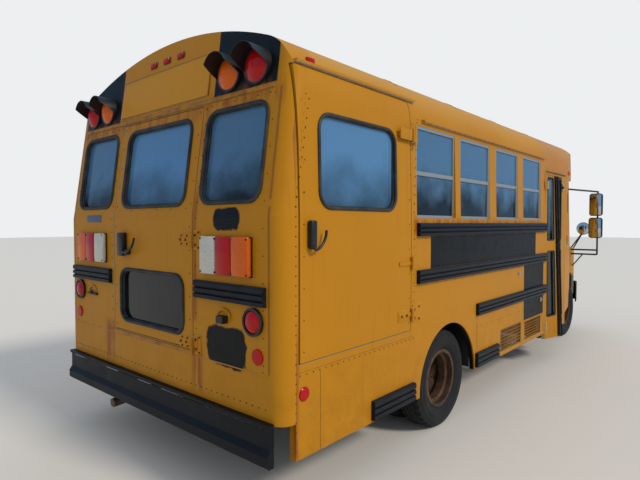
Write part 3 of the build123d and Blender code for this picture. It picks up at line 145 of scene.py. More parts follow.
def linear(code: str) -> tuple[float, float, float, float]:
    """Linear colour of an sRGB hex value.

    Args:
        code: Six hex digits, with or without a leading #.

    Returns:
        Red, green, blue and alpha for a shader socket.
    """
    digits = code.lstrip("#")
    channels = [int(digits[i : i + 2], 16) / 255.0 for i in (0, 2, 4)]
    curve = [c / 12.92 if c <= 0.04045 else ((c + 0.055) / 1.055) ** 2.4 for c in channels]
    return (curve[0], curve[1], curve[2], 1.0)


def feed(tree: bpy.types.NodeTree, node: bpy.types.Node, inputs: dict[Any, Any]) -> None:
    """Gives a node's inputs their values and links.

    Args:
        tree: Node tree that holds the node.
        node: The node.
        inputs: Socket name or number to a value, or to another node's output.
    """
    for key, value in inputs.items():
        if isinstance(value, bpy.types.NodeSocket):
            tree.links.new(value, node.inputs[key])
        else:
            node.inputs[key].default_value = value


def add(tree: bpy.types.NodeTree, kind: str, inputs: Optional[dict[Any, Any]] = None, **settings: Any) -> Any:
    """Adds one node with its settings and what goes into it.

    Args:
        tree: Node tree that gets the node.
        kind: Blender's node type, without its ShaderNode prefix.
        inputs: Socket name or number to a value, or to another node's output.
        settings: The node's own properties.

    Returns:
        The new node.
    """
    node = tree.nodes.new("ShaderNode" + kind)
    for name, value in settings.items():
        setattr(node, name, value)
    feed(tree, node, inputs or {})
    return node


def patches(
    tree: bpy.types.NodeTree, place: Any, size: float, span: Pair, reach: Pair = (0.0, 1.0),
    detail: float = 6.0, rough: float = 0.5,
) -> tuple[Any, Any]:
    """Noise of a real size, and the mask of patches that it gives.

    Args:
        tree: Material's node tree.
        place: Coordinates of the noise.
        size: Size of the noise in millimetres.
        span: Values of the noise where the patches begin and where they are full.
        reach: Value of the mask at each of the two.
        detail: Octaves of the noise.
        rough: Strength of the fine octaves.

    Returns:
        The noise and the mask, as sockets.
    """
    settings = {"Vector": place, "Scale": per_metre(size), "Detail": detail, "Roughness": rough}
    noise = add(tree, "TexNoise", settings).outputs[0]
    edge = {"Value": noise, "From Min": span[0], "From Max": span[1], "To Min": reach[0], "To Max": reach[1]}
    return noise, add(tree, "MapRange", edge).outputs[0]


class Ride(Enum):
    """Bodies that new pieces move with."""

    BUS = "bus_body"
    REAR_DOOR = "rear_door_body"
    LIFT_DOOR = "lift_door_body"
    ENTRANCE_REAR = "entrance_rear_body"
    ENTRANCE_FRONT = "entrance_front_body"
    DRIVER_DOOR = "driver_door_body"
    STOP_ARM = "stop_arm_body"
    REAR_RIGHT = "rear_right_wheels"
    REAR_LEFT = "rear_left_wheels"
    FRONT_RIGHT = "front_right_wheel"
    FRONT_LEFT = "front_left_wheel"


@dataclass(frozen=True)
class Zone:
    """Box of the object, in the part's frame, that is painted another colour.

    With toward set, only the faces that look that way are painted. With corner set, the area has
    round corners and a ragged edge, as brushed paint has.
    """

    low: Point
    high: Point
    colour: str
    feather: float = 0.004
    toward: Optional[Point] = None
    corner: float = 0.0

    def mask(self, tree: bpy.types.NodeTree, place: Any) -> Any:
        """Mask that is 1 inside the box and falls to 0 at its soft edge.

        Args:
            tree: Material's node tree.
            place: Object coordinates.

        Returns:
            The mask's output socket.
        """
        centre = tuple((a + b) / 2 for a, b in zip(self.low, self.high))
        half = tuple((b - a) / 2 for a, b in zip(self.low, self.high))
        shifted = add(tree, "VectorMath", {0: place, 1: centre}, operation="SUBTRACT")
        folded = add(tree, "VectorMath", {0: shifted.outputs[0]}, operation="ABSOLUTE")
        past = add(tree, "VectorMath", {0: folded.outputs[0], 1: half}, operation="SUBTRACT")
        axes = add(tree, "SeparateXYZ", {0: past.outputs[0]})
        flat = {0: axes.outputs[0], 1: axes.outputs[2], 2: self.corner}
        wide = add(tree, "Math", flat, operation="SMOOTH_MAX")
        most = add(tree, "Math", {0: wide.outputs[0], 1: axes.outputs[1]}, operation="MAXIMUM")
        edge = {"Value": most.outputs[0], "From Min": -self.feather, "From Max": self.feather}
        inside = add(tree, "MapRange", {**edge, "To Min": 1.0, "To Max": 0.0}).outputs[0]
        if self.toward is None:
            return inside
        normal = add(tree, "NewGeometry").outputs["Normal"]
        turned = add(tree, "VectorMath", {0: normal, 1: self.toward}, operation="DOT_PRODUCT")
        facing = add(tree, "MapRange", {"Value": turned.outputs[1], "From Min": 0.86, "From Max": 0.92})
        return add(tree, "Math", {0: inside, 1: facing.outputs[0]}, operation="MULTIPLY").outputs[0]


@dataclass(frozen=True)
class Coat:
    """What a finish draws over its base colour.

    Layers are pairs of a mask and a hex colour, from the lowest up. Bumps are a height with its
    strength and depth in metres, from the coarsest down. Inputs are other values of the shader.
    """

    layers: Sequence[tuple[Any, str]] = ()
    bumps: Sequence[tuple[Any, float, float]] = ()
    inputs: dict[str, Any] = field(default_factory=dict)


@dataclass(frozen=True)
class Finish:
    """Base of every finish: one plain surface with its shader values, and a fine grain.

    Subclasses draw their own colour, roughness and bump. The slot names a material slot of the record,
    which nothing in this script reads.
    """

    name: str
    colour: str
    roughness: float = 0.5
    metallic: float = 0.0
    ior: float = 1.5
    slot: str = "body_paint"

    def build(self) -> bpy.types.Material:
        """Makes the material, once for each name.

        Returns:
            The material.
        """
        found = bpy.data.materials.get(self.name)
        if found is not None:
            return found
        material = bpy.data.materials.new(self.name)
        material.use_nodes = True
        tree = material.node_tree
        tree.nodes.clear()
        base = {"Base Color": linear(self.colour), "Roughness": self.roughness}
        shader = add(tree, "BsdfPrincipled", {**base, "Metallic": self.metallic, "IOR": self.ior})
        add(tree, "OutputMaterial", {"Surface": shader.outputs[0]})
        coat = self.draw(tree, add(tree, "TexCoord").outputs["Object"])
        feed(tree, shader, coat.inputs)
        colour: Any = linear(self.colour)
        for mask, top in coat.layers:
            mixed = add(tree, "Mix", {0: mask, 6: colour, 7: linear(top)}, data_type="RGBA")
            colour = mixed.outputs[2]
        normal: dict[str, Any] = {}
        for height, strength, distance in coat.bumps:
            bump = add(tree, "Bump", {"Height": height, "Strength": strength, "Distance": distance, **normal})
            normal = {"Normal": bump.outputs[0]}
        feed(tree, shader, {"Base Color": colour, **normal})
        return material

    def draw(self, tree: bpy.types.NodeTree, place: Any) -> Coat:
        """Draws the pattern; the plain finish has fine grain only.

        Args:
            tree: Material's node tree.
            place: Object coordinates.

        Returns:
            Layers, bumps and shader inputs.
        """
        grain = add(tree, "TexNoise", {"Vector": place, "Scale": per_metre(4), "Detail": 3.0})
        return Coat(bumps=[(grain.outputs[0], 0.08, 0.001)])


@dataclass(frozen=True)
class Enamel(Finish):
    """Sprayed enamel on pressed steel: satin, paler on faces that look up (part sun fading, part painted
    reflection of the sky), dusty low down.
    """

    faded_and_sky_lit: str = "#C4881C"
    grime: str = "#5E3A10"
    inside: str = "#B9B5A6"
    fade_and_sky_sheen: float = 0.55
    dust_top: float = 0.95
    zones: tuple[Zone, ...] = ()
    rust: tuple[Zone, ...] = ()

    def draw(self, tree: bpy.types.NodeTree, place: Any) -> Coat:
        """Colour drift, sun fading with a painted sky reflection on faces that look up, dust streaks, painted
        areas, rust runs and the pale inside.

        Args:
            tree: Material's node tree.
            place: Object coordinates.

        Returns:
            Layers, bumps and shader inputs.
        """
        _, drift = patches(tree, place, 850, (0.35, 0.8), (0.0, 0.3), 4.0)
        normal = add(tree, "NewGeometry").outputs["Normal"]
        upward = add(tree, "SeparateXYZ", {0: normal}).outputs[2]
        # Faces that look up are painted paler: part sun fading, part painted reflection of the sky
        sun = {"Value": upward, "From Min": 0.25, "From Max": 0.95, "To Max": self.fade_and_sky_sheen}
        # Rain runs: noise drawn out along Z
        drawn = add(tree, "Mapping", {"Vector": place, "Scale": (1.0, 1.0, 0.07)}).outputs[0]
        runs, streaks = patches(tree, drawn, 55, (0.6, 0.85), (0.0, 0.22), 5.0)
        height = add(tree, "SeparateXYZ", {0: place}).outputs[2]
        low = {"Value": height, "From Min": self.dust_top, "From Max": 0.3, "To Max": 1.0}
        splash, thrown = patches(tree, place, 120, (0.35, 0.8), (0.0, 0.42), 6.0, 0.7)
        dust = {0: add(tree, "MapRange", low).outputs[0], 1: thrown}
        layers = [
            (drift, self.faded_and_sky_lit),
            (add(tree, "MapRange", sun).outputs[0], self.faded_and_sky_lit),
            (streaks, self.grime),
            (add(tree, "Math", dust, operation="MULTIPLY").outputs[0], self.grime),
        ]
        brushed, ragged = self.uneven(tree, place)
        for zone in self.zones:
            layers.append((zone.mask(tree, ragged if zone.corner else brushed), zone.colour))
        for zone in self.rust:
            patch = add(tree, "MapRange", {"Value": runs, "From Min": 0.42, "From Max": 0.62})
            both = {0: zone.mask(tree, brushed), 1: patch.outputs[0]}
            layers.append((add(tree, "Math", both, operation="MULTIPLY").outputs[0], zone.colour))
        # Faces that look towards the middle of the bus are the inside
        inward = add(tree, "VectorMath", {0: place, 1: (0.0, -1.0, 1.35)}, operation="SUBTRACT").outputs[0]
        dot = add(tree, "VectorMath", {0: inward, 1: normal}, operation="DOT_PRODUCT").outputs[1]
        inner = add(tree, "MapRange", {"Value": dot, "From Min": -0.05, "From Max": -0.12})
        layers.append((inner.outputs[0], self.inside))
        wear = {"Value": splash, "To Min": self.roughness - 0.08, "To Max": self.roughness + 0.2}
        dents = add(tree, "TexNoise", {"Vector": place, "Scale": per_metre(420), "Detail": 1.0})
        peel = add(tree, "TexNoise", {"Vector": place, "Scale": per_metre(6), "Detail": 2.0})
        bumps = [(dents.outputs[0], 0.25, 0.004), (peel.outputs[0], 0.06, 0.0005)]
        inputs = {
            "Roughness": add(tree, "MapRange", wear).outputs[0], "Specular IOR Level": 0.17,
            "Coat Weight": 0.03, "Coat Roughness": 0.25,
        }
        return Coat(layers, bumps, inputs)

    def uneven(self, tree: bpy.types.NodeTree, place: Any) -> list[Any]:
        """Shifts the coordinates by noise, so that painted areas have uneven edges.

        Args:
            tree: Material's node tree.
            place: Object coordinates.

        Returns:
            Coordinates for brushed edges and for ragged ones.
        """
        wobble = add(tree, "TexNoise", {"Vector": place, "Scale": per_metre(60), "Detail": 2.0})
        push = add(tree, "VectorMath", {0: wobble.outputs[1], 1: (0.5, 0.5, 0.5)}, operation="SUBTRACT")
        shifted = []
        for reach in (0.006, 0.045):
            move = add(tree, "VectorMath", {0: push.outputs[0], "Scale": reach}, operation="SCALE")
            moved = add(tree, "VectorMath", {0: place, 1: move.outputs[0]}, operation="ADD")
            shifted.append(moved.outputs[0])
        return shifted


@dataclass(frozen=True)
class BlackPaint(Finish):
    """Black chassis enamel, scuffed and dusty, with rust where it has chipped."""

    dust: str = "#403B35"
    chips: str = "#5A2F19"
    chipped: float = 0.68

    def draw(self, tree: bpy.types.NodeTree, place: Any) -> Coat:
        """Dust in patches and small rust chips.

        Args:
            tree: Material's node tree.
            place: Object coordinates.

        Returns:
            Layers, bumps and shader inputs.
        """
        cloud, dusty = patches(tree, place, 160, (0.45, 0.8), (0.0, 0.5))
        chip, bare = patches(tree, place, 38, (self.chipped, self.chipped + 0.03), detail=8.0, rough=0.75)
        wear = {"Value": cloud, "To Min": self.roughness - 0.1, "To Max": self.roughness + 0.25}
        inputs = {"Roughness": add(tree, "MapRange", wear).outputs[0], "Specular IOR Level": 0.16}
        return Coat([(dusty, self.dust), (bare, self.chips)], [(chip, 0.2, 0.001)], inputs)


@dataclass(frozen=True)
class RustySteel(Finish):
    """Bare or once painted steel with a skin of rust."""

    rust: str = "#5C3420"
    cover: float = 0.5

    def draw(self, tree: bpy.types.NodeTree, place: Any) -> Coat:
        """Blotches of rust over the base, and a pitted surface.

        Args:
            tree: Material's node tree.
            place: Object coordinates.

        Returns:
            Layers and bumps.
        """
        _, rusted = patches(tree, place, 70, (self.cover - 0.12, self.cover + 0.12), (1.0, 0.0), 8.0, 0.7)
        pits = add(tree, "TexNoise", {"Vector": place, "Scale": per_metre(5), "Detail": 4.0})
        return Coat([(rusted, self.rust)], [(pits.outputs[0], 0.35, 0.001)])


@dataclass(frozen=True)
class Rubber(Finish):
    """Black rubber, greyed by road dust."""

    dust: str = "#6B655A"
    amount: float = 0.45

    def draw(self, tree: bpy.types.NodeTree, place: Any) -> Coat:
        """Dust that lies thicker in patches, over a fine grain.

        Args:
            tree: Material's node tree.
            place: Object coordinates.

        Returns:
            Layers and bumps.
        """
        _, dusty = patches(tree, place, 90, (0.4, 0.75), (0.0, self.amount), 5.0)
        grain = add(tree, "TexNoise", {"Vector": place, "Scale": per_metre(3), "Detail": 2.0})
        return Coat([(dusty, self.dust)], [(grain.outputs[0], 0.15, 0.0008)])


@dataclass(frozen=True)
class GlassWithPaintedShade(Finish):
    """Toughened glass with a painted dark foot low down, which stands for shade and dark reflections, and a
    thin film of dust on the outside.
    """

    clear: float = 0.9
    dust: str = "#8F938C"
    # Colour and heights of the painted dark foot: painted shade and dark reflections
    low: str = "#11161C"
    low_z: Pair = (1.45, 1.95)

    def draw(self, tree: bpy.types.NodeTree, place: Any) -> Coat:
        """The painted dark foot, which stands for shade and dark reflections, and a thin film of dust that
        breaks up the reflection.

        Args:
            tree: Material's node tree.
            place: Object coordinates.

        Returns:
            Layers and shader inputs.
        """
        film, dusty = patches(tree, place, 240, (0.4, 0.8), (0.0, 0.07))
        height = add(tree, "SeparateXYZ", {0: place}).outputs[2]
        wave = add(tree, "Math", {0: film, 1: 0.5, 2: height}, operation="MULTIPLY_ADD").outputs[0]
        # The noise's mean, times the wave's 0.5
        lift = 0.25
        # Below these heights the glass is painted dark: painted shade and dark reflections
        edge = {"Value": wave, "From Min": self.low_z[0] + lift, "From Max": self.low_z[1] + lift}
        dark = add(tree, "MapRange", {**edge, "To Min": 1.0, "To Max": 0.0}).outputs[0]
        wear = {"Value": film, "From Min": 0.3, "From Max": 0.8, "To Min": 0.01, "To Max": 0.14}
        inputs = {"Roughness": add(tree, "MapRange", wear).outputs[0], "Transmission Weight": self.clear}
        return Coat([(dark, self.low), (dusty, self.dust)], [], inputs)


@dataclass(frozen=True)
class LampPlastic(Finish):
    """Moulded acrylic lens with fine prisms inside."""

    prism_mm: float = 6.0

    def draw(self, tree: bpy.types.NodeTree, place: Any) -> Coat:
        """Crossed prism ribs as bump, with the brightness of the ribs in the colour.

        Args:
            tree: Material's node tree.
            place: Object coordinates.

        Returns:
            Layers, bumps and shader inputs.
        """
        turned = add(tree, "Mapping", {"Vector": place, "Rotation": (0.0, math.radians(45), 0.0)})
        scale = per_metre(self.prism_mm)
        cells = add(tree, "TexVoronoi", {"Vector": turned.outputs[0], "Scale": scale}).outputs[0]
        shade = add(tree, "MapRange", {"Value": cells, "From Max": 0.7, "To Max": 0.28}).outputs[0]
        inputs = {"Specular IOR Level": 0.2, "Coat Weight": 0.12, "Coat Roughness": 0.05}
        return Coat([(shade, "#000000")], [(cells, 0.25, 0.001)], inputs)


@dataclass(frozen=True)
class Vinyl(Finish):
    """Coated fabric of the seats, with a leather-like grain."""

    worn: str = "#3A4656"

    def draw(self, tree: bpy.types.NodeTree, place: Any) -> Coat:
        """Pebble grain and rubbed patches.

        Args:
            tree: Material's node tree.
            place: Object coordinates.

        Returns:
            Layers and bumps.
        """
        _, rubbed = patches(tree, place, 180, (0.45, 0.7), (0.0, 0.6), 3.0)
        # Real grain is about 1.5 mm; it is drawn at 6 mm so that it shows
        pebble = add(tree, "TexVoronoi", {"Vector": place, "Scale": per_metre(6)})
        return Coat([(rubbed, self.worn)], [(pebble.outputs[0], 0.3, 0.0008)])


@dataclass(frozen=True)
class RibbedRubber(Finish):
    """Black rubber floor covering with long ribs, over a floor that is sealed black below."""

    rib_mm: float = 24.0
    dust: str = "#5A554C"
    underseal: str = "#0D0C0B"
    sealed_below: float = 0.895

    def draw(self, tree: bpy.types.NodeTree, place: Any) -> Coat:
        """Ribs that run along the aisle with trodden dust, and the underseal.

        Args:
            tree: Material's node tree.
            place: Object coordinates.

        Returns:
            Layers and bumps.
        """
        # Drawn at about twice their real pitch, so that they show
        pitch = per_metre(self.rib_mm) / 6.283
        ribs = add(tree, "TexWave", {"Vector": place, "Scale": pitch}, bands_direction="X")
        _, trodden = patches(tree, place, 300, (0.4, 0.7), (0.0, 0.5))
        # Sealed black below, where the wheels throw dirt
        level = add(tree, "SeparateXYZ", {0: place})
        facing = add(tree, "SeparateXYZ", {0: add(tree, "NewGeometry").outputs["Normal"]})
        low = add(tree, "Math", {0: level.outputs[2], 1: self.sealed_below}, operation="LESS_THAN")
        down = add(tree, "Math", {0: facing.outputs[2], 1: 0.3}, operation="LESS_THAN")
        below = add(tree, "Math", {0: low.outputs[0], 1: down.outputs[0]}, operation="MULTIPLY")
        layers = [(trodden, self.dust), (below.outputs[0], self.underseal)]
        return Coat(layers, [(ribs.outputs[1], 0.6, 0.002)])


BLACK = "#0B0B0C"
PATCH_BLACK = "#0A0909"
UNDERSEAL = "#0D0C0B"
# Painted shade of the shallow groove at each rear corner post
RUN_BROWN = "#8A4A16"
GROOVE_SHADE = "#8E5D12"
BUS_YELLOW = "#B07706"
# Direction of the raked rear wall
BACK: Point = (0.0, -0.99, 0.14)

# Black wheel arches, and the black band and panel between the rails
RIGHT_SIDE_BLACK = (
    Zone((1.10, at(1325), 0.300), (1.209, at(2255), 0.830), UNDERSEAL),
    Zone((1.10, at(1483), 1.245), (1.30, at(3735), 1.478), BLACK),
    Zone((1.10, at(3395), 0.590), (1.30, at(4000), 1.151), BLACK),
)
LEFT_SIDE_BLACK = (
    Zone((-1.209, at(1325), 0.300), (-1.10, at(2255), 0.830), UNDERSEAL),
    Zone((-1.30, at(1483), 1.245), (-1.10, at(3735), 1.478), BLACK),
)
# Two brushed patches, and painted shade in the groove at each corner post
REAR_BLACK = (
    Zone((0.608, at(-40), 0.775), (0.956, at(60), 1.003), PATCH_BLACK, 0.005, corner=0.14),
    Zone((0.675, at(-40), 1.525), (0.900, at(60), 1.650), PATCH_BLACK, 0.005, corner=0.08),
) + tuple(
    Zone((x, at(-40), low), (x + 0.016, at(depth), high), GROOVE_SHADE, 0.003, BACK)
    for x in (1.119, -1.135)
    for low, high, depth in ((0.800, 1.650, 60), (1.690, 2.270, 160))
)
REAR_RUST = (
    Zone((-1.25, at(-40), 2.205), (1.25, at(330), 2.300), RUN_BROWN, 0.05, BACK),
    Zone((-0.62, at(-40), 0.600), (-0.46, at(60), 0.860), RUN_BROWN, 0.04, BACK),
    Zone((0.470, at(-40), 0.600), (0.560, at(60), 0.860), RUN_BROWN, 0.03, BACK),
    Zone((0.480, at(-40), 1.000), (0.520, at(160), 2.250), RUN_BROWN, 0.02, BACK),
)
SIDE_RUST = (
    Zone((1.10, at(1250), 1.500), (1.30, at(3900), 1.600), RUN_BROWN, 0.03),
    Zone((1.10, at(60), 0.360), (1.30, at(125), 2.280), RUN_BROWN, 0.02),
)
CORNER_BLACK = tuple(
    Zone((x, at(-100), 2.300), (x + 0.530, at(330), 3.000), BLACK, toward=BACK) for x in (0.560, -1.090)
)

# Sprayed enamel: even colour, with a soft orange peel in its highlights. Faces that look up, the roof most,
# are painted paler: part sun fading, part painted reflection of the sky
YELLOW = Enamel("enamel_bus_yellow", BUS_YELLOW, 0.42)
ROOF_PAINT = Enamel("enamel_roof", BUS_YELLOW, 0.5, slot="roof_paint", faded_and_sky_lit="#C39648", fade_and_sky_sheen=0.8)
SIGN_PANEL = Enamel("enamel_sign_panel", "#BE820C", 0.4, grime="#6A4718")
SIGN_EDGE = Enamel("enamel_sign_edge", "#7E520E", 0.5)
# Black and brushed enamels: satin, broken by dust and by rust at the chips
BUMPER = BlackPaint("enamel_black_bumper", "#0C1015", 0.42, dust="#1E2126", chipped=0.72)
RIVET = BlackPaint("painted_rivet_heads", "#6E4410", 0.55, dust="#7A4A1E", chips="#4A2410", chipped=0.5)
BLACK_RIVET = BlackPaint("black_rivet_heads", "#22242A", 0.4, slot="black_paint", chipped=0.75)
# Beaded sheet on aluminium: flat bright colour without gloss
RED_SHEET = BlackPaint(
    "reflective_red_sheet", "#A31A14", 0.4, slot="stop_red", dust="#7A3A30", chipped=0.8
)
WHITE_SHEET = Finish("reflective_white_sheet", "#D9D9D6", 0.4, slot="stop_red")
BLANK_PLATE = Finish("grey_blank_plate", "#4A5568", 0.5)
# Rolled, forged, pressed and cast steel: dark and dull, blotched where the paint has gone
RUSTY_STRIP = RustySteel("rusted_painted_strip", "#A5700F", 0.6, rust="#6B3D1C", cover=0.42)
AXLE = RustySteel("forged_steel_axle", "#2A2724", 0.6, metallic=0.6)
KNUCKLE = RustySteel("cast_steel_knuckle", "#3A3633", 0.55, metallic=0.7)
RIM = RustySteel("painted_steel_rim", "#362B22", 0.65, metallic=0.3, rust="#634630", cover=0.5)
WHEEL_NUT = RustySteel(
    "zinc_steel_nut", "#6B6762", 0.45, metallic=0.8, slot="rusty_rim", rust="#5A3320", cover=0.48
)
HUB_IRON = RustySteel(
    "cast_iron_hub", "#3B3632", 0.6, metallic=0.4, slot="rusty_rim", rust="#4E2F1D", cover=0.5
)
# Moulded and extruded rubber: matt, greyed by the dust in its grain
TYRE = Rubber("road_tyre_rubber", "#0D0D0F", 0.85, slot="tyre", dust="#2B2926", amount=0.3)
SEAL = Rubber("extruded_window_rubber", "#17181A", 0.6, slot="black_plastic", amount=0.25)
SPLASH_RUBBER = Rubber(
    "moulded_splash_rubber", "#0D0D0E", 0.8, slot="black_paint", dust="#24211E", amount=0.3
)
# Moulded ABS: even and half matt. The cast handles are smoother and catch the sky
BLACK_PLASTIC = Finish("moulded_black_plastic", "#141415", 0.45, slot="black_plastic")
CAST_HANDLE = Finish("cast_black_handle", "#0E0F12", 0.38, slot="black_plastic")
# Mill-finish extrusions dulled by oxide: pale grey, with a broad soft shine
ALUMINIUM = Finish("dull_window_aluminium", "#A0A2A2", 0.42, 0.6, slot="seat_steel")
STEP_TREAD = Finish("step_edge_yellow", "#C9A21A", 0.5, slot="floor")
# Coated fabric: soft highlights that its grain breaks up
SEAT = Vinyl("vinyl_seat_cover", "#28323F", 0.45, slot="upholstery")
# Glass: the blue base colour is a painted reflection of the sky, and the near-black foot low down is painted
# shade and dark reflections
GLASS = GlassWithPaintedShade("glass_with_painted_sky", "#72AEE4", 0.03, clear=0.55, ior=1.38)
SASH_GLASS = GlassWithPaintedShade(
    "sash_glass_with_painted_sky", "#6496C4", 0.03, clear=0.55, ior=1.38, low="#0A0C0E", low_z=(1.68, 1.94)
)
CLEAR_LENS = GlassWithPaintedShade(
    "clear_headlamp_glass", "#E4E6E6", 0.05, slot="lens", clear=0.95, low="#E4E6E6"
)
# Moulded acrylic: deep clean colour, darker where its prisms turn the light away
RED_LENS = LampPlastic("acrylic_red_lens", "#B8070A", 0.2, slot="lens")
AMBER_LENS = LampPlastic("acrylic_amber_lens", "#E06402", 0.2, slot="lens")
WHITE_LENS = LampPlastic("acrylic_white_lens", "#CFD0C4", 0.2, slot="lens")
# Metal film on plastic and behind glass: it mirrors what stands round it
REFLECTOR = Finish("aluminised_reflector", "#C9CBCC", 0.12, 1.0, slot="lens")
MIRROR_GLASS = Finish("silvered_mirror_glass", "#BFC4C8", 0.04, 1.0, slot="mirror_face")

# Finish of every CAD node
NODE_FINISHES: tuple[tuple[Finish, tuple[str, ...]], ...] = (
    (YELLOW, ("lift_door", "cab_shell", "entrance_rear_leaf", "driver_door", "front_fenders", "hood")),
    (
        Enamel("enamel_right_side", BUS_YELLOW, 0.42, zones=RIGHT_SIDE_BLACK, rust=SIDE_RUST),
        ("right_side_wall",),
    ),
    (Enamel("enamel_left_side", BUS_YELLOW, 0.42, zones=LEFT_SIDE_BLACK), ("left_side_wall",)),
    (Enamel("enamel_rear_wall", BUS_YELLOW, 0.42, zones=REAR_BLACK, rust=REAR_RUST), ("rear_wall",)),
    (Enamel("enamel_rear_door", BUS_YELLOW, 0.42, rust=REAR_RUST), ("rear_door",)),
    (Enamel("enamel_rear_cap", BUS_YELLOW, 0.45, zones=CORNER_BLACK, rust=REAR_RUST), ("rear_cap",)),
    (ROOF_PAINT, ("roof_panel",)),
    # The cap's upper faces are painted paler: part sun fading, part painted reflection of the sky
    (Enamel("gelcoat_front_cap", "#AE7423", 0.4, faded_and_sky_lit="#C09050", fade_and_sky_sheen=0.6), ("front_cap",)),
    (
        BlackPaint("enamel_black_leaf", "#131417", 0.42, dust="#2A2C30", chipped=0.8),
        ("entrance_front_leaf",),
    ),
    (BlackPaint("enamel_black_rails", "#14171E", 0.34, dust="#2E323B", chipped=0.8), ("rub_rails",)),
    (BUMPER, ("rear_bumper", "front_bumper")),
    (BlackPaint("enamel_black_chassis", "#1A1918", 0.6, chipped=0.55), ("chassis_frame",)),
    (BlackPaint("painted_mesh_grille", "#8A5E1E", 0.6, dust="#4A3A26", chipped=0.6), ("skirt_grilles",)),
    (BlackPaint("enamel_black_tank", "#1E1D1C", 0.5, chipped=0.6), ("fuel_tank",)),
    (AXLE, ("rear_axle", "front_axle")),
    (KNUCKLE, ("right_knuckle", "left_knuckle")),
    (RustySteel("cast_iron_engine", "#4A4744", 0.6, metallic=0.6, cover=0.4), ("engine_block",)),
    (RustySteel("aluminised_steel_exhaust", "#6A6560", 0.5, metallic=0.8, cover=0.48), ("exhaust",)),
    (BlackPaint("powder_coat_lift", "#6E7173", 0.45, dust="#8A8478", chipped=0.72), ("wheelchair_lift",)),
    (BlackPaint("powder_coat_seat_frame", "#5B5E60", 0.45, chipped=0.75), ("seat_frames",)),
    (RED_SHEET, ("stop_arm",)),
    (ALUMINIUM, ("window_frames",)),
    (BLACK_PLASTIC, ("lamp_housings", "front_grille", "mirrors", "headlamps")),
    (CAST_HANDLE, ("rear_door_handle", "lift_door_handle")),
    (Finish("moulded_grey_plastic", "#4B4B4D", 0.55), ("dashboard",)),
    (Finish("moulded_soft_grip", "#1B1B1C", 0.5), ("steering_wheel",)),
    (RibbedRubber("ribbed_rubber_floor", "#232323", 0.7), ("floor_deck",)),
    (
        GLASS,
        ("rear_door_glass", "lift_door_glass", "entrance_rear_glass", "entrance_front_glass",
         "driver_door_glass"),
    ),
    (SASH_GLASS, ("window_glass",)),
    (RED_LENS, ("lamp_lenses",)),
    (RIM, ("rear_right_rims", "rear_left_rims", "front_right_rim", "front_left_rim")),
    (TYRE, ("rear_right_tyres", "rear_left_tyres", "front_right_tyre", "front_left_tyre")),
    (SEAT, ("passenger_seats", "driver_seat")),
)


def dress(node: bpy.types.Object, finish: Finish) -> None:
    """Gives a CAD node its material without touching its mesh.

    Args:
        node: The node's object.
        finish: The finish that it gets.
    """
    material = finish.build()
    if not node.material_slots:
        node.data.materials.append(material)
    for place in node.material_slots:
        place.link = "OBJECT"
        place.material = material


def turn_to(direction: Sequence[float]) -> Matrix:
    """Rotation that turns +Z to a direction."""
    return Vector(direction).to_track_quat("Z", "Y").to_matrix().to_4x4()


def settle(
    piece: bpy.types.Object, ride: Ride, finish: Finish, replaced: Sequence[str] = (),
) -> None:
    """Dresses a finished piece and sets it on its body.

    Args:
        piece: The new object, with its place in its data.
        ride: Body that it moves with.
        finish: Its finish.
        replaced: CAD nodes that it stands for.
    """
    bpy.context.scene.collection.objects.link(piece)
    piece.data.materials.append(finish.build())
    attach(piece, ride.value)
    if replaced:
        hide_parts(*replaced)
    LOG.info("added %s on %s", piece.name, ride.value)


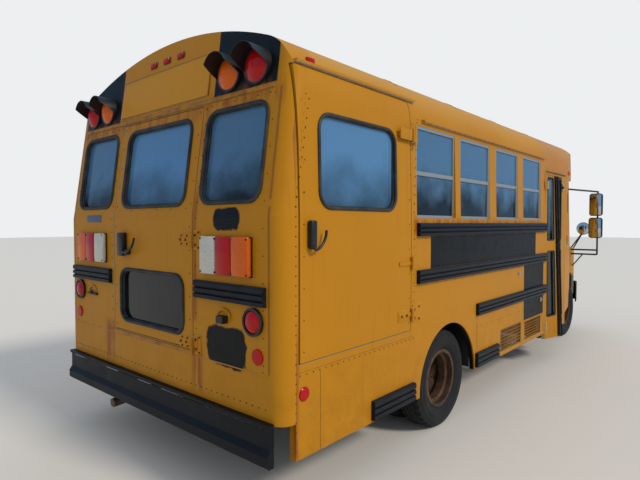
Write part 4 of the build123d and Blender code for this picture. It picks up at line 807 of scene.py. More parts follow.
@dataclass
class Piece:
    """One new piece: a bmesh that operators shape, then dressed and set on its body."""

    name: str
    finish: Finish
    ride: Ride = Ride.BUS
    slot: str = ""
    sharp: float = 40.0
    bm: bmesh.types.BMesh = field(default_factory=bmesh.new)

    def box(self, low: Sequence[float], high: Sequence[float], edge: float = 0.0) -> None:
        """Adds a box.

        Args:
            low: One corner.
            high: The corner across from it.
            edge: Rounding of its edges.
        """
        centre = (Vector(low) + Vector(high)) / 2
        size = Vector(high) - Vector(low)
        place = Matrix.Translation(centre) @ Matrix.Diagonal((*(abs(side) for side in size), 1.0))
        made = bmesh.ops.create_cube(self.bm, size=1.0, matrix=place)["verts"]
        if edge:
            self.round_edges(made, edge)

    def drum(
        self, centre: Sequence[float], direction: Sequence[float], radius: float, depth: float,
        sides: int = 24, top: Optional[float] = None, edge: float = 0.0,
    ) -> None:
        """Adds a round bar or cone about a centre.

        Args:
            centre: Middle of its axis.
            direction: Direction of its axis.
            radius: Radius at its foot.
            depth: Length.
            sides: Number of sides.
            top: Radius at its far end, where it isn't the same.
            edge: Rounding of its edges.
        """
        made = bmesh.ops.create_cone(
            self.bm, cap_ends=True, cap_tris=False, segments=sides, radius1=radius,
            radius2=radius if top is None else top, depth=depth,
            matrix=Matrix.Translation(centre) @ turn_to(direction),
        )["verts"]
        if edge:
            self.round_edges(made, edge)

    def round_edges(self, made: Iterable[bmesh.types.BMVert], edge: float) -> None:
        """Rounds the edges of a shape that has just been made.

        Args:
            made: The shape's points.
            edge: How far the rounding reaches.
        """
        edges = {line for corner in made for line in corner.link_edges}
        bmesh.ops.bevel(
            self.bm, geom=list(edges), offset=edge, offset_type="OFFSET", affect="EDGES", segments=2,
            profile=0.5, material=-1,
        )

    def lathe(
        self, profile: Sequence[Pair], centre: Sequence[float], direction: Sequence[float], steps: int = 32,
    ) -> list[bmesh.types.BMFace]:
        """Spins a profile about an axis.

        Args:
            profile: Pairs of radius and distance along the axis. One that starts on the axis also ends
                there, and any other closes on its start.
            centre: Point of the axis at distance 0.
            direction: Direction of the axis.
            steps: Number of steps in the turn.

        Returns:
            The new faces.
        """
        on_axis = profile[0][0] == 0.0
        closing = (0.0, profile[-1][1]) if on_axis else profile[0]
        place = Matrix.Translation(centre) @ turn_to(direction)
        line = [self.bm.verts.new(place @ Vector((r, 0.0, along))) for r, along in (*profile, closing)]
        edges = [self.bm.edges.new(pair) for pair in zip(line, line[1:])]
        before = set(self.bm.faces)
        bmesh.ops.spin(
            self.bm, geom=line + edges, cent=centre, axis=Vector(direction).normalized(),
            dvec=(0.0, 0.0, 0.0), angle=2 * math.pi, steps=steps, use_merge=True, use_duplicate=False,
        )
        made = [face for face in self.bm.faces if face not in before]
        corners = {corner for face in made for corner in face.verts}
        bmesh.ops.remove_doubles(self.bm, verts=list(corners), dist=0.00002)
        return [face for face in self.bm.faces if face not in before]

    def rivets(
        self, start: Sequence[float], end: Sequence[float], pitch: float, outward: Sequence[float],
        radius: float,
    ) -> None:
        """Adds a row of low rivet heads of a few faces each.

        Args:
            start: Place of the first one.
            end: Place of the last one.
            pitch: Distance between two, which is fitted to the row's length.
            outward: Direction of the heads.
            radius: Radius of a head.
        """
        run = Vector(end) - Vector(start)
        count = max(1, round(run.length / pitch))
        turn = turn_to(outward)
        for step in range(count + 1):
            place = Matrix.Translation(Vector(start) + run * (step / count))
            bmesh.ops.create_cone(
                self.bm, cap_ends=True, cap_tris=False, segments=8, radius1=radius, radius2=radius * 0.55,
                depth=radius * 0.7, matrix=place @ turn,
            )

    def rivet_rows(self, rows: Iterable[Row], wall: Callable[[float, float], Point], outward: Point) -> None:
        """Adds rows of rivets to a wall.

        Args:
            rows: Start and end on the wall, pitch and radius of each row.
            wall: Gives the point that a place on the wall has.
            outward: Direction of the heads.
        """
        for u0, v0, u1, v1, pitch, radius in rows:
            self.rivets(wall(u0, v0), wall(u1, v1), pitch, outward, radius)

    def mirror_copy(self) -> None:
        """Adds the mirror image of everything made so far, on the bus's other side."""
        shapes = self.bm.verts[:] + self.bm.edges[:] + self.bm.faces[:]
        copied = bmesh.ops.duplicate(self.bm, geom=shapes)["geom"]
        corners = [item for item in copied if isinstance(item, bmesh.types.BMVert)]
        bmesh.ops.scale(self.bm, vec=(-1.0, 1.0, 1.0), verts=corners)

    def lean(self, way: Callable[[Vector], Sequence[float]]) -> None:
        """Moves every point to where a leaning wall puts it."""
        for corner in self.bm.verts:
            corner.co = way(corner.co)

    def to_mesh(self) -> bpy.types.Mesh:
        """Closes the shape, with its normals outward.

        Returns:
            The shape as a mesh.
        """
        bmesh.ops.recalc_face_normals(self.bm, faces=self.bm.faces[:])
        mesh = bpy.data.meshes.new(self.name)
        self.bm.to_mesh(mesh)
        self.bm.free()
        return mesh

    def deliver(self, *replaced: str) -> None:
        """Makes the smooth mesh and sets the piece on its body.

        Args:
            replaced: CAD nodes that it stands for.
        """
        for face in self.bm.faces:
            face.smooth = True
        mesh = self.to_mesh()
        mesh.set_sharp_from_angle(angle=math.radians(self.sharp))
        settle(bpy.data.objects.new(self.name, mesh), self.ride, self.finish, replaced)


def on_rear(place: Vector) -> Point:
    """Where the raked rear wall puts a point that was made with the wall at Y = 0."""
    return (place.x, place.y + rear_y(place.z), place.z)


def on_side(place: Vector) -> Point:
    """Where the leaning side walls put a point that was made on upright ones."""
    shift = side_x(place.z) - HALF_WIDTH
    return (place.x + math.copysign(shift, place.x), place.y, place.z)


def rear_rivet(x: float, z: float) -> Point:
    """Place of a rivet on the rear wall, before the wall leans."""
    return (x, -RIVET_LIFT, z)


def right_rivet(station: float, z: float) -> Point:
    """Place of a rivet on the right side, before the wall leans."""
    return (HALF_WIDTH + RIVET_LIFT, at(station), z)


def left_rivet(station: float, z: float) -> Point:
    """Place of a rivet on the left side, before the wall leans."""
    return (-HALF_WIDTH - RIVET_LIFT, at(station), z)


def rounded_loop(low: Pair, high: Pair, radius: float, steps: int = 6) -> list[Pair]:
    """Points round a rectangle with round corners.

    Args:
        low: Its lower corner.
        high: Its upper corner.
        radius: Radius of the corners.
        steps: Steps in each corner.

    Returns:
        The points, once round.
    """
    corners = ((high[0], high[1], 0), (low[0], high[1], 90), (low[0], low[1], 180), (high[0], low[1], 270))
    points = []
    for u, v, start in corners:
        centre_u = u - math.copysign(radius, u - (low[0] + high[0]) / 2)
        centre_v = v - math.copysign(radius, v - (low[1] + high[1]) / 2)
        for step in range(steps + 1):
            angle = math.radians(start + 90 * step / steps)
            points.append((centre_u + radius * math.cos(angle), centre_v + radius * math.sin(angle)))
    return points


@dataclass
class Tubing:
    """Rubber, wire or tube of one thickness along several runs."""

    name: str
    finish: Finish
    radius: float
    runs: Sequence[Sequence[Point]]
    ride: Ride = Ride.BUS
    closed: bool = True

    def build(self) -> None:
        """Makes the runs as one curve object."""
        curve = bpy.data.curves.new(self.name, "CURVE")
        curve.dimensions = "3D"
        curve.bevel_depth = self.radius
        curve.bevel_resolution = 2
        curve.use_fill_caps = not self.closed
        for run in self.runs:
            spline = curve.splines.new("POLY")
            spline.points.add(len(run) - 1)
            for point, place in zip(spline.points, run):
                point.co = (*place, 1.0)
            spline.use_cyclic_u = self.closed
            spline.use_smooth = True
        settle(bpy.data.objects.new(self.name, curve), self.ride, self.finish)


@dataclass(frozen=True)
class Wheel:
    """Places of the tyres, the disc and the hub's end of one wheel body."""

    corner: str
    ride: Ride
    side: int
    station: float
    tyres_x: tuple[float, ...]
    disc_x: float
    hub_end: float


WHEELS = (
    Wheel("rear_right", Ride.REAR_RIGHT, 1, 1790.0, (1.062, 0.804), 0.943, 1.013),
    Wheel("rear_left", Ride.REAR_LEFT, -1, 1790.0, (1.062, 0.804), 0.943, 1.013),
    Wheel("front_right", Ride.FRONT_RIGHT, 1, 5803.0, (0.885,), 0.910, 0.947),
    Wheel("front_left", Ride.FRONT_LEFT, -1, 5803.0, (0.885,), 0.910, 0.947),
)


@dataclass
class RoadTyre:
    """Worn highway tyre: blank sidewalls, four grooves and cut shoulders."""

    wheel: Wheel
    bead: Pair = (0.2033, 0.0732)
    tread_radius: float = 0.3722
    groove: float = 0.009
    shoulder_radius: float = 0.362
    shoulder: Pair = (0.049, 0.086)
    block_edge: float = 0.0035
    block_cut: float = 0.005
    steps: int = 72

    def half_profile(self) -> list[Pair]:
        """Radius and half width from the bead to the middle of the tread.

        Returns:
            The points, for the half that looks along +X.
        """
        tread = self.tread_radius
        floor = tread - self.groove
        return [
            self.bead, (0.222, 0.0752), (0.236, 0.0900), (0.262, 0.1035), (0.286, 0.1075), (0.290, 0.1095),
            (0.296, 0.1095), (0.300, 0.1070), (0.324, 0.1030), (0.330, 0.1040), (0.336, 0.0990),
            (0.350, 0.0905), (0.362, 0.0850), (0.3675, 0.0780), (0.3700, 0.0680), (tread - 0.0015, 0.0500),
            (floor, 0.0480), (floor, 0.0415), (tread - 0.0008, 0.0395), (tread, 0.0180), (floor, 0.0165),
            (floor, 0.0100), (tread, 0.0085),
        ]

    def build(self) -> None:
        """Spins every tyre of the body, and cuts its shoulder blocks."""
        kind = "tyres" if len(self.wheel.tyres_x) > 1 else "tyre"
        piece = Piece(f"{self.wheel.corner}_road_{kind}", TYRE, self.wheel.ride, sharp=28.0)
        half = self.half_profile()
        profile = half + [(radius, -along) for radius, along in reversed(half)]
        for x in self.wheel.tyres_x:
            centre = Vector((self.wheel.side * x, at(self.wheel.station), AXLE_HEIGHT))
            cuts = []
            for face in piece.lathe(profile, centre, RIGHTWARD, self.steps):
                place = face.calc_center_median() - centre
                radius = math.hypot(place.y, place.z)
                turn = int((math.atan2(place.z, place.y) % (2 * math.pi)) / (2 * math.pi) * self.steps)
                on_shoulder = self.shoulder[0] < abs(place.x) < self.shoulder[1]
                if radius > self.shoulder_radius and on_shoulder and turn % 2 == 0:
                    cuts.append(face)
            bmesh.ops.inset_individual(piece.bm, faces=cuts, thickness=self.block_edge, depth=-self.block_cut)
        piece.deliver(f"{self.wheel.corner}_{kind}")


@dataclass
class WheelFittings:
    """Nuts, hub and valve on the outside of one wheel."""

    wheel: Wheel
    nuts: int = 8
    nut_circle: float = 0.092
    hub_radius: float = 0.056
    hub_bolts: int = 8
    bolt_circle: float = 0.047
    valve: Pair = (0.150, 0.02)

    def build(self) -> None:
        """Makes the nuts on their studs, the hub's flange with its bolts, and the valve."""
        side, disc, axle_y = self.wheel.side, self.wheel.disc_x, at(self.wheel.station)
        way = (float(side), 0.0, 0.0)
        nuts = Piece(f"{self.wheel.corner}_wheel_nuts", WHEEL_NUT, self.wheel.ride)
        for step in range(self.nuts):
            angle = 2 * math.pi * (step + 0.5) / self.nuts
            y = axle_y + self.nut_circle * math.cos(angle)
            z = AXLE_HEIGHT + self.nut_circle * math.sin(angle)
            nuts.drum((side * (disc + 0.009), y, z), way, 0.0165, 0.020, 6, edge=0.0015)
            nuts.drum((side * (disc + 0.020), y, z), way, 0.0075, 0.026, 10)
        nuts.deliver()
        hub = Piece(f"{self.wheel.corner}_hub_flange", HUB_IRON, self.wheel.ride)
        end = side * self.wheel.hub_end
        rim = self.hub_radius
        profile = ((0.0, 0.016), (0.030, 0.016), (0.040, 0.010), (rim, 0.008), (rim, -0.010))
        hub.lathe(profile, (end, axle_y, AXLE_HEIGHT), way, 28)
        for step in range(self.hub_bolts):
            angle = 2 * math.pi * step / self.hub_bolts
            y = axle_y + self.bolt_circle * math.cos(angle)
            z = AXLE_HEIGHT + self.bolt_circle * math.sin(angle)
            hub.drum((end + side * 0.012, y, z), way, 0.006, 0.012, 6)
        ahead, rise = self.valve
        hub.drum((side * (disc + 0.030), axle_y + ahead, AXLE_HEIGHT + rise), way, 0.005, 0.06, 8)
        hub.deliver()


@dataclass
class WindowRubbers:
    """Extruded rubbers round the fixed panes of the rear wall and of two doors."""

    rear_window: Pane = (0.535, 1.048, 1.681, 2.208)
    door_panes: tuple[Pane, ...] = ((-0.378, 0.378, 1.677, 2.199), (-0.378, 0.378, 0.898, 1.252))
    lift_pane: Pane = (286.0, 1025.0, 1.649, 2.155)
    corner: float = 0.080
    lift_corner: float = 0.090
    radius: float = 0.0125
    lift_radius: float = 0.011
    # Inset and depth of the three beads of the section
    lips: tuple[Pair, ...] = ((0.0, -0.001), (0.004, 0.016), (0.004, 0.030))

    def rear_loops(self, pane: Pane, side: int = 1) -> list[list[Point]]:
        """Loops round a pane of the rear wall, from the skin inwards.

        Args:
            pane: Its X limits, then its Z limits.
            side: 1 for the pane as it is given, -1 for its mirror image.

        Returns:
            One loop for each lip.
        """
        loops = []
        for inset, depth in self.lips:
            low, high = (pane[0] + inset, pane[2] + inset), (pane[1] - inset, pane[3] - inset)
            points = rounded_loop(low, high, self.corner - inset)
            loops.append([(side * x, rear_y(z) + depth, z) for x, z in points])
        return loops

    def build(self) -> None:
        """Makes the rubbers, one object for each body."""
        rear = self.rear_loops(self.rear_window) + self.rear_loops(self.rear_window, -1)
        Tubing("rear_window_rubbers", SEAL, self.radius, rear).build()
        door = [loop for pane in self.door_panes for loop in self.rear_loops(pane)]
        Tubing("rear_door_rubbers", SEAL, self.radius, door, Ride.REAR_DOOR).build()
        low, high, bottom, top = self.lift_pane
        lift = []
        for inset, depth in self.lips:
            corner = (at(low) + inset, bottom + inset)
            points = rounded_loop(corner, (at(high) - inset, top - inset), self.lift_corner - inset)
            lift.append([(side_x(z) - depth, y, z) for y, z in points])
        Tubing("lift_door_rubber", SEAL, self.lift_radius, lift, Ride.LIFT_DOOR).build()


@dataclass
class RearDetails:
    """Rivets, laps, blank sign, gutter, strips, lamp hoods and blank plate of the rear end.

    Except for the hoods, the shapes are made with the wall at Y = 0, and then lean with it.
    """

    skirt_row: Row = (-1.10, 0.617, 1.10, 0.617, 0.050, 0.0055)
    wall_rows: tuple[Row, ...] = (
        (0.508, 0.86, 0.508, 2.24, 0.092, 0.0055), (1.085, 0.84, 1.085, 2.24, 0.14, 0.0045),
        (0.56, 0.805, 1.08, 0.805, 0.13, 0.0045), (0.56, 2.247, 1.05, 2.247, 0.098, 0.005),
    )
    door_rows: tuple[Row, ...] = (
        (-0.445, 0.86, -0.445, 2.23, 0.137, 0.005), (0.445, 0.86, 0.445, 2.23, 0.137, 0.005),
        (-0.40, 1.655, 0.40, 1.655, 0.160, 0.005),
    )
    sign: Pane = (-0.545, 0.505, 2.318, 2.585)
    sign_border: float = 0.008
    gutter: Pair = (2.272, 2.294)
    gutter_end: float = 1.075
    lap: float = 0.793
    hoods_x: Pair = (0.772, -0.812)
    hood_size: Pair = (0.056, 0.046)
    hood_z: float = 1.050

    def build(self) -> None:
        """Makes the pieces of the rear end."""
        self.build_rivets()
        self.build_sign()
        self.build_strips()
        self.build_plate_lamp()

    def build_rivets(self) -> None:
        """Rows along the skirt and the gutter, and columns beside the door."""
        rivets = Piece("rear_rivets", RIVET)
        rivets.rivet_rows((self.skirt_row,), rear_rivet, REARWARD)
        for side in (1, -1):
            rows = [(side * u0, v0, side * u1, *rest) for u0, v0, u1, *rest in self.wall_rows]
            rivets.rivet_rows(rows, rear_rivet, REARWARD)
        door = Piece("rear_door_rivets", RIVET, Ride.REAR_DOOR)
        door.rivet_rows(self.door_rows, rear_rivet, REARWARD)
        for piece in (rivets, door):
            piece.lean(on_rear)
            piece.deliver()

    def build_sign(self) -> None:
        """Blank sign: a thin frame round a yellow panel."""
        low_x, high_x, low_z, high_z = self.sign
        border = self.sign_border
        frame = Piece("rear_sign_frame", SIGN_EDGE)
        for z in (low_z, high_z - border):
            frame.box((low_x, -0.006, z), (high_x, 0.002, z + border), 0.002)
        for x in (low_x, high_x - border):
            frame.box((x, -0.006, low_z + border), (x + border, 0.002, high_z - border))
        panel = Piece("rear_sign_panel", SIGN_PANEL)
        panel.box((low_x + border, -0.003, low_z + border), (high_x - border, 0.002, high_z - border))
        for piece in (frame, panel):
            piece.lean(on_rear)
            piece.deliver()

    def build_strips(self) -> None:
        """Ribbed gutter over the windows, the strip under the door and the laps beside it."""
        gutter = Piece("rear_header_gutter", RUSTY_STRIP)
        low, high = self.gutter
        end = self.gutter_end
        for rib in range(3):
            z = low + (high - low) * rib / 3
            gutter.box((-end, -0.009, z), (end, 0.003, z + 0.009), 0.003)
        gutter.box((-end - 0.005, -0.003, low - 0.004), (end + 0.005, 0.003, high))
        sill = Piece("rear_door_sill_strip", RUSTY_STRIP)
        sill.box((-0.478, -0.007, 0.792), (0.474, 0.001, 0.816), 0.002)
        lap = Piece("rear_panel_laps", YELLOW)
        for side in (1, -1):
            lap.box((side * 0.50, -0.003, self.lap - 0.006), (side * 1.117, 0.002, self.lap), 0.001)
        for low_x, high_x in ((0.484, 0.500), (-0.500, -0.488)):
            lap.box((low_x, -0.005, 0.83), (high_x, 0.001, 2.25), 0.002)
        for piece in (gutter, sill, lap):
            piece.lean(on_rear)
            piece.deliver()

    def build_plate_lamp(self) -> None:
        """Half-round hoods over the plate lamp and the hook on the left, with the blank plate there."""
        wide, tall = self.hood_size
        hoods = []
        for x in self.hoods_x:
            angles = [math.radians(8 + 164 * step / 12) for step in range(13)]
            hoods.append([
                (x + wide * math.cos(angle), REAR_FACE - 0.006, self.hood_z + tall * math.sin(angle))
                for angle in angles
            ])
        Tubing("lamp_hoods", YELLOW, 0.0075, hoods, closed=False).build()
        hook = Piece("rear_left_hook", BLACK_PLASTIC)
        hook.box((-0.888, -0.016, 1.030), (-0.737, 0.0, 1.047), 0.004)
        hook.drum((self.hoods_x[1], -0.016, self.hood_z), UPWARD, 0.009, 0.030, 12, edge=0.002)
        plate = Piece("rear_left_plate", BLANK_PLATE)
        plate.box((-0.905, -0.002, 1.575), (-0.665, 0.001, 1.628), 0.001)
        for piece in (hook, plate):
            piece.lean(on_rear)
            piece.deliver()


@dataclass
class Lenses:
    """Red, amber and white lenses of every lamp."""

    cluster: tuple[float, ...] = (0.596, 0.733, 0.870)
    lens_width: float = 0.125
    between: float = 0.0055
    frame_over: float = 0.0105
    warning_x: tuple[float, ...] = (0.935, 0.700, -0.735, -0.965)
    warning_z: float = 2.408
    front_x: tuple[float, ...] = (0.838, 0.632, -0.632, -0.838)
    front_z: float = 2.330
    front_station: float = 5455.0
    housing_depth: float = 0.0255
    warning_radius: float = 0.088
    warning_rise: float = 0.030
    rings: int = 9
    # Profile, place on the right side and direction of the tail lamp, the two reflectors beside it
    tail_lamp: tuple[Pair, ...] = (
        (0.0, 0.027), (0.030, 0.025), (0.050, 0.018), (0.0605, 0.008), (0.0605, -0.004),
    )
    rear_reflector: tuple[Pair, ...] = ((0.0, 0.012), (0.036, 0.011), (0.042, 0.006), (0.042, -0.003))
    side_reflector: tuple[Pair, ...] = ((0.0, 0.010), (0.032, 0.009), (0.037, 0.005), (0.037, -0.003))
    side_marker: tuple[Pair, ...] = (
        (0.0, 0.030), (0.016, 0.028), (0.026, 0.018), (0.030, 0.004), (0.030, -0.004),
    )

    def dome(self, piece: Piece, centre: Point, way: float) -> None:
        """Adds a ribbed dome lens that faces along Y.

        Args:
            piece: Piece that gets the lens.
            centre: Middle of its foot.
            way: 1 to face forward, -1 to face back.
        """
        profile = [(0.0, self.warning_rise)]
        for ring in range(1, self.rings + 1):
            radius = self.warning_radius * ring / self.rings
            rise = self.warning_rise * (1 - (ring / self.rings) ** 2)
            profile.append((radius - 0.0035, rise + 0.0012))
            profile.append((radius, rise - 0.0008))
        profile.append((self.warning_radius, -0.004))
        piece.lathe(profile, centre, (0.0, way, 0.0), 36)

    def block_lens(self, piece: Piece, x: float, side: int) -> None:
        """Adds one pillowed lens of a tail-lamp cluster, which covers its frame's face.

        Args:
            piece: Piece that gets the lens.
            x: Its inner edge.
            side: 1 for the right cluster, -1 for the left one.
        """
        low_z, high_z = CLUSTER_Z
        over = self.frame_over + 0.002
        left = self.frame_over if x == self.cluster[0] else self.between
        right = self.frame_over if x == self.cluster[-1] else self.between
        low = (side * (x - left), REAR_FACE - 0.034, low_z - over)
        high = (side * (x + self.lens_width + right), REAR_FACE - 0.004, high_z + over)
        piece.box(low, high, 0.009)

    def build(self) -> None:
        """Makes one piece for each colour."""
        red = Piece("red_lenses", RED_LENS, sharp=25.0)
        amber = Piece("amber_lenses", AMBER_LENS, sharp=25.0)
        white = Piece("white_lenses", WHITE_LENS, sharp=25.0)
        rear = (self.warning_x, rear_y(self.warning_z) - self.housing_depth, self.warning_z, -1.0)
        front = (self.front_x, at(self.front_station) + self.housing_depth, self.front_z, 1.0)
        for row, y, z, way in (rear, front):
            for x in row:
                self.dome(red if x in (row[0], row[-1]) else amber, (x, y, z), way)
        for side in (1, -1):
            out = (float(side), 0.0, 0.0)
            for piece, x in zip((white, red, amber), self.cluster):
                self.block_lens(piece, x, side)
            red.lathe(self.tail_lamp, (side * 1.014, REAR_FACE - 0.002, 1.056), REARWARD, 32)
            red.lathe(self.rear_reflector, (side * 1.043, REAR_FACE, 0.878), REARWARD, 28)
            red.lathe(self.side_reflector, (side * HALF_WIDTH, at(159), 0.686), out, 28)
            x = side * (side_x(2.43) + 0.004)
            red.box((x - 0.008, at(250), 2.420), (x + 0.008, at(310), 2.446), 0.004)
            amber.box((side * 1.006, at(5665), 0.985), (side * 1.020, at(5715), 1.023), 0.004)
            ahead = (float(side), 0.18, 0.0)
            amber.lathe(self.side_marker, (side * 1.184, at(5022), 2.192), ahead, 24)
        skin, z = rear_y(ROOF_LAMP_Z), ROOF_LAMP_Z
        for x in ROOF_LAMP_X:
            red.box((x - 0.032, skin - 0.016, z - 0.014), (x + 0.032, skin + 0.004, z + 0.014), 0.005)
            amber.box((x - 0.032, at(5322), 2.500), (x + 0.032, at(5365), 2.524), 0.005)
        red.deliver("lamp_lenses")
        amber.deliver()
        white.deliver()


@dataclass
class LampScrews:
    """Screws of the tail-lamp clusters, and bases of the marker lamps."""

    screws_x: tuple[float, ...] = (0.5985, 0.7275, 0.8645, 0.9925)

    def build(self) -> None:
        """Makes a screw at each corner of each lens, in the housing's black."""
        screws = Piece("lamp_screws", BLACK_PLASTIC)
        for x in self.screws_x:
            for z in CLUSTER_Z:
                screws.drum((x, REAR_FACE - 0.0335, z), REARWARD, 0.0065, 0.006, 10, edge=0.001)
        screws.mirror_copy()
        skin, z = rear_y(ROOF_LAMP_Z), ROOF_LAMP_Z
        for x in ROOF_LAMP_X:
            screws.box((x - 0.040, skin - 0.006, z - 0.020), (x + 0.040, skin + 0.006, z + 0.020), 0.003)
        screws.deliver()


@dataclass
class SideDetails:
    """Rivets, laps, splash panels, rail fasteners and roof seams of the two sides."""

    both_rows: tuple[Row, ...] = (
        (100, 0.40, 100, BELT, 0.050, 0.005), (100, BELT + 0.05, 184, 2.20, 0.050, 0.005),
        (1262, 2.262, 4010, 2.262, 0.092, 0.005), (2280, 0.700, 4040, 0.700, 0.110, 0.0045),
        (1300, 1.585, 4020, 1.585, 0.110, 0.0045),
    )
    right_rows: tuple[Row, ...] = (
        (1262, 1.462, 4030, 1.462, 0.150, 0.0045), (1262, 1.140, 4030, 1.140, 0.150, 0.0045),
        (1252, 0.92, 1252, 2.24, 0.060, 0.005), (130, 0.785, 1250, 0.785, 0.050, 0.005),
    )
    left_rows: tuple[Row, ...] = (
        (140, 1.462, 4030, 1.462, 0.150, 0.0045), (140, 1.140, 4030, 1.140, 0.150, 0.0045),
    )
    door_rows: tuple[Row, ...] = (
        (160, 0.90, 160, 2.22, 0.165, 0.0045), (1190, 0.90, 1190, 2.22, 0.165, 0.0045),
    )
    # Stations and heights of the panel joints on the right side
    joints: tuple[Pane, ...] = (
        (287, 290, 0.352, 0.778), (112, 1256, 0.800, 0.803), (2280, 2283, 0.500, 0.795),
        (3400, 3403, 0.500, 0.795),
    )
    latches: tuple[Pair, ...] = ((3258.0, 1.073), (3921.0, 0.746))
    # Side, stations of the ends and height of each rail
    rails: tuple[tuple[int, float, float, float], ...] = (
        (1, 1290, 4050, 1.524), (1, 1290, 4050, 1.198), (1, 2260, 4050, 0.849),
        (1, 2250, 2718, 0.425), (1, 760, 1249, 0.425), (-1, 120, 4040, 1.524), (-1, 120, 4040, 1.198),
        (-1, 2260, 4040, 0.849), (-1, 120, 1320, 0.849), (-1, 2250, 4040, 0.425), (-1, 120, 1320, 0.425),
    )
    rail_depth: float = 0.027
    seams: tuple[float, ...] = (1235.0, 2150.0, 3065.0, 3980.0)
    seam_reach: float = 1.08
    seam_steps: int = 24

    def build(self) -> None:
        """Makes the rivets, the panels, the rail screws and the roof seams."""
        leftward = (-1.0, 0.0, 0.0)
        rivets = Piece("side_rivets", RIVET)
        rivets.rivet_rows(self.both_rows + self.right_rows, right_rivet, RIGHTWARD)
        rivets.rivet_rows(self.both_rows + self.left_rows, left_rivet, leftward)
        rivets.lean(on_side)
        rivets.deliver()
        self.build_panels()
        door = Piece("lift_door_rivets", RIVET, Ride.LIFT_DOOR)
        door.rivet_rows(self.door_rows, right_rivet, RIGHTWARD)
        door.lean(on_side)
        door.deliver()
        flaps = Piece("rear_splash_panels", SPLASH_RUBBER)
        flaps.box((0.690, at(2226), 0.368), (1.1735, at(2233), 0.840), 0.002)
        flaps.mirror_copy()
        flaps.deliver()
        screws = Piece("rail_screws", BLACK_RIVET)
        for side, start, end, z in self.rails:
            x = side * (HALF_WIDTH + self.rail_depth)
            ends = (x, at(start + 60), z), (x, at(end - 60), z)
            screws.rivets(*ends, 0.300, (float(side), 0.0, 0.0), 0.008)
        y = REAR_FACE - self.rail_depth
        for side in (1, -1):
            screws.rivets((side * 0.56, y, 1.191), (side * 1.06, y, 1.191), 0.25, REARWARD, 0.008)
        screws.deliver()
        self.build_roof_seams()

    def build_panels(self) -> None:
        """Joints of the side panels, and round latches of the two hatches."""
        joints = Piece("side_panel_joints", SIGN_EDGE)
        for low, high, bottom, top in self.joints:
            joints.box((HALF_WIDTH - 0.001, at(low), bottom), (HALF_WIDTH + 0.001, at(high), top))
        joints.deliver()
        latches = Piece("hatch_latches", ALUMINIUM, slot="black_plastic")
        for station, z in self.latches:
            latches.drum((HALF_WIDTH + 0.0025, at(station), z), RIGHTWARD, 0.026, 0.007, 24, edge=0.002)
            low = (HALF_WIDTH + 0.005, at(station - 22), z - 0.005)
            latches.box(low, (HALF_WIDTH + 0.013, at(station + 22), z + 0.005), 0.002)
        latches.deliver()

    def build_roof_seams(self) -> None:
        """Lap seams across the roof, with rivets on both sides of each."""
        steps = range(-self.seam_steps, self.seam_steps + 1)
        widths = [self.seam_reach * step / self.seam_steps for step in steps]
        runs = [[(x, at(station), roof_z(x) + 0.0005) for x in widths] for station in self.seams]
        Tubing("roof_seams", ROOF_PAINT, 0.0035, runs, closed=False).build()
        rivets = Piece("roof_rivets", ROOF_PAINT)
        for station in self.seams:
            for x in widths[1:-1]:
                rise = roof_z(x + 0.01) - roof_z(x - 0.01)
                outward = (-rise / 0.02, 0.0, 1.0)
                for offset in (-14.0, 14.0):
                    place = (x, at(station + offset), roof_z(x) + RIVET_LIFT)
                    rivets.rivets(place, place, 1.0, outward, 0.005)
        rivets.deliver()


@dataclass
class DoorHandles:
    """Black guards with a hooked lever on the rear door and the lift door."""

    rear_guard: Pane = (-0.366, -0.291, 1.344, 1.504)
    rear_hook: tuple[Pair, ...] = (
        (-0.320, 1.378), (-0.270, 1.371), (-0.236, 1.371), (-0.194, 1.389), (-0.162, 1.416), (-0.144, 1.444),
        (-0.133, 1.470),
    )
    lift_guard: Pane = (184.0, 228.0, 1.437, 1.582)
    lift_hook: tuple[Pair, ...] = (
        (196.0, 1.450), (205.0, 1.434), (223.0, 1.429), (245.0, 1.438), (268.0, 1.457), (286.0, 1.480),
        (296.0, 1.506), (299.0, 1.530),
    )

    def build(self) -> None:
        """Makes a guard and a hook for each door."""
        low, high, bottom, top = self.rear_guard
        guard = Piece("rear_door_guard", CAST_HANDLE, Ride.REAR_DOOR)
        guard.box((low, REAR_FACE - 0.040, bottom), (high, REAR_FACE, top), 0.010)
        guard.drum((-0.262, REAR_FACE - 0.016, 1.372), REARWARD, 0.020, 0.030, 20, edge=0.003)
        guard.deliver("rear_door_handle")
        run = [(x, REAR_FACE - 0.036, z) for x, z in self.rear_hook]
        Tubing("rear_door_hook", CAST_HANDLE, 0.008, [run], Ride.REAR_DOOR, False).build()
        low, high, bottom, top = self.lift_guard
        guard = Piece("lift_door_guard", CAST_HANDLE, Ride.LIFT_DOOR)
        guard.box((HALF_WIDTH, at(low), bottom), (HALF_WIDTH + 0.036, at(high), top), 0.010)
        guard.drum((HALF_WIDTH + 0.014, at(206), 1.450), RIGHTWARD, 0.018, 0.028, 20, edge=0.003)
        guard.deliver("lift_door_handle")
        run = [(HALF_WIDTH + 0.034, at(station), z) for station, z in self.lift_hook]
        Tubing("lift_door_hook", CAST_HANDLE, 0.0075, [run], Ride.LIFT_DOOR, False).build()


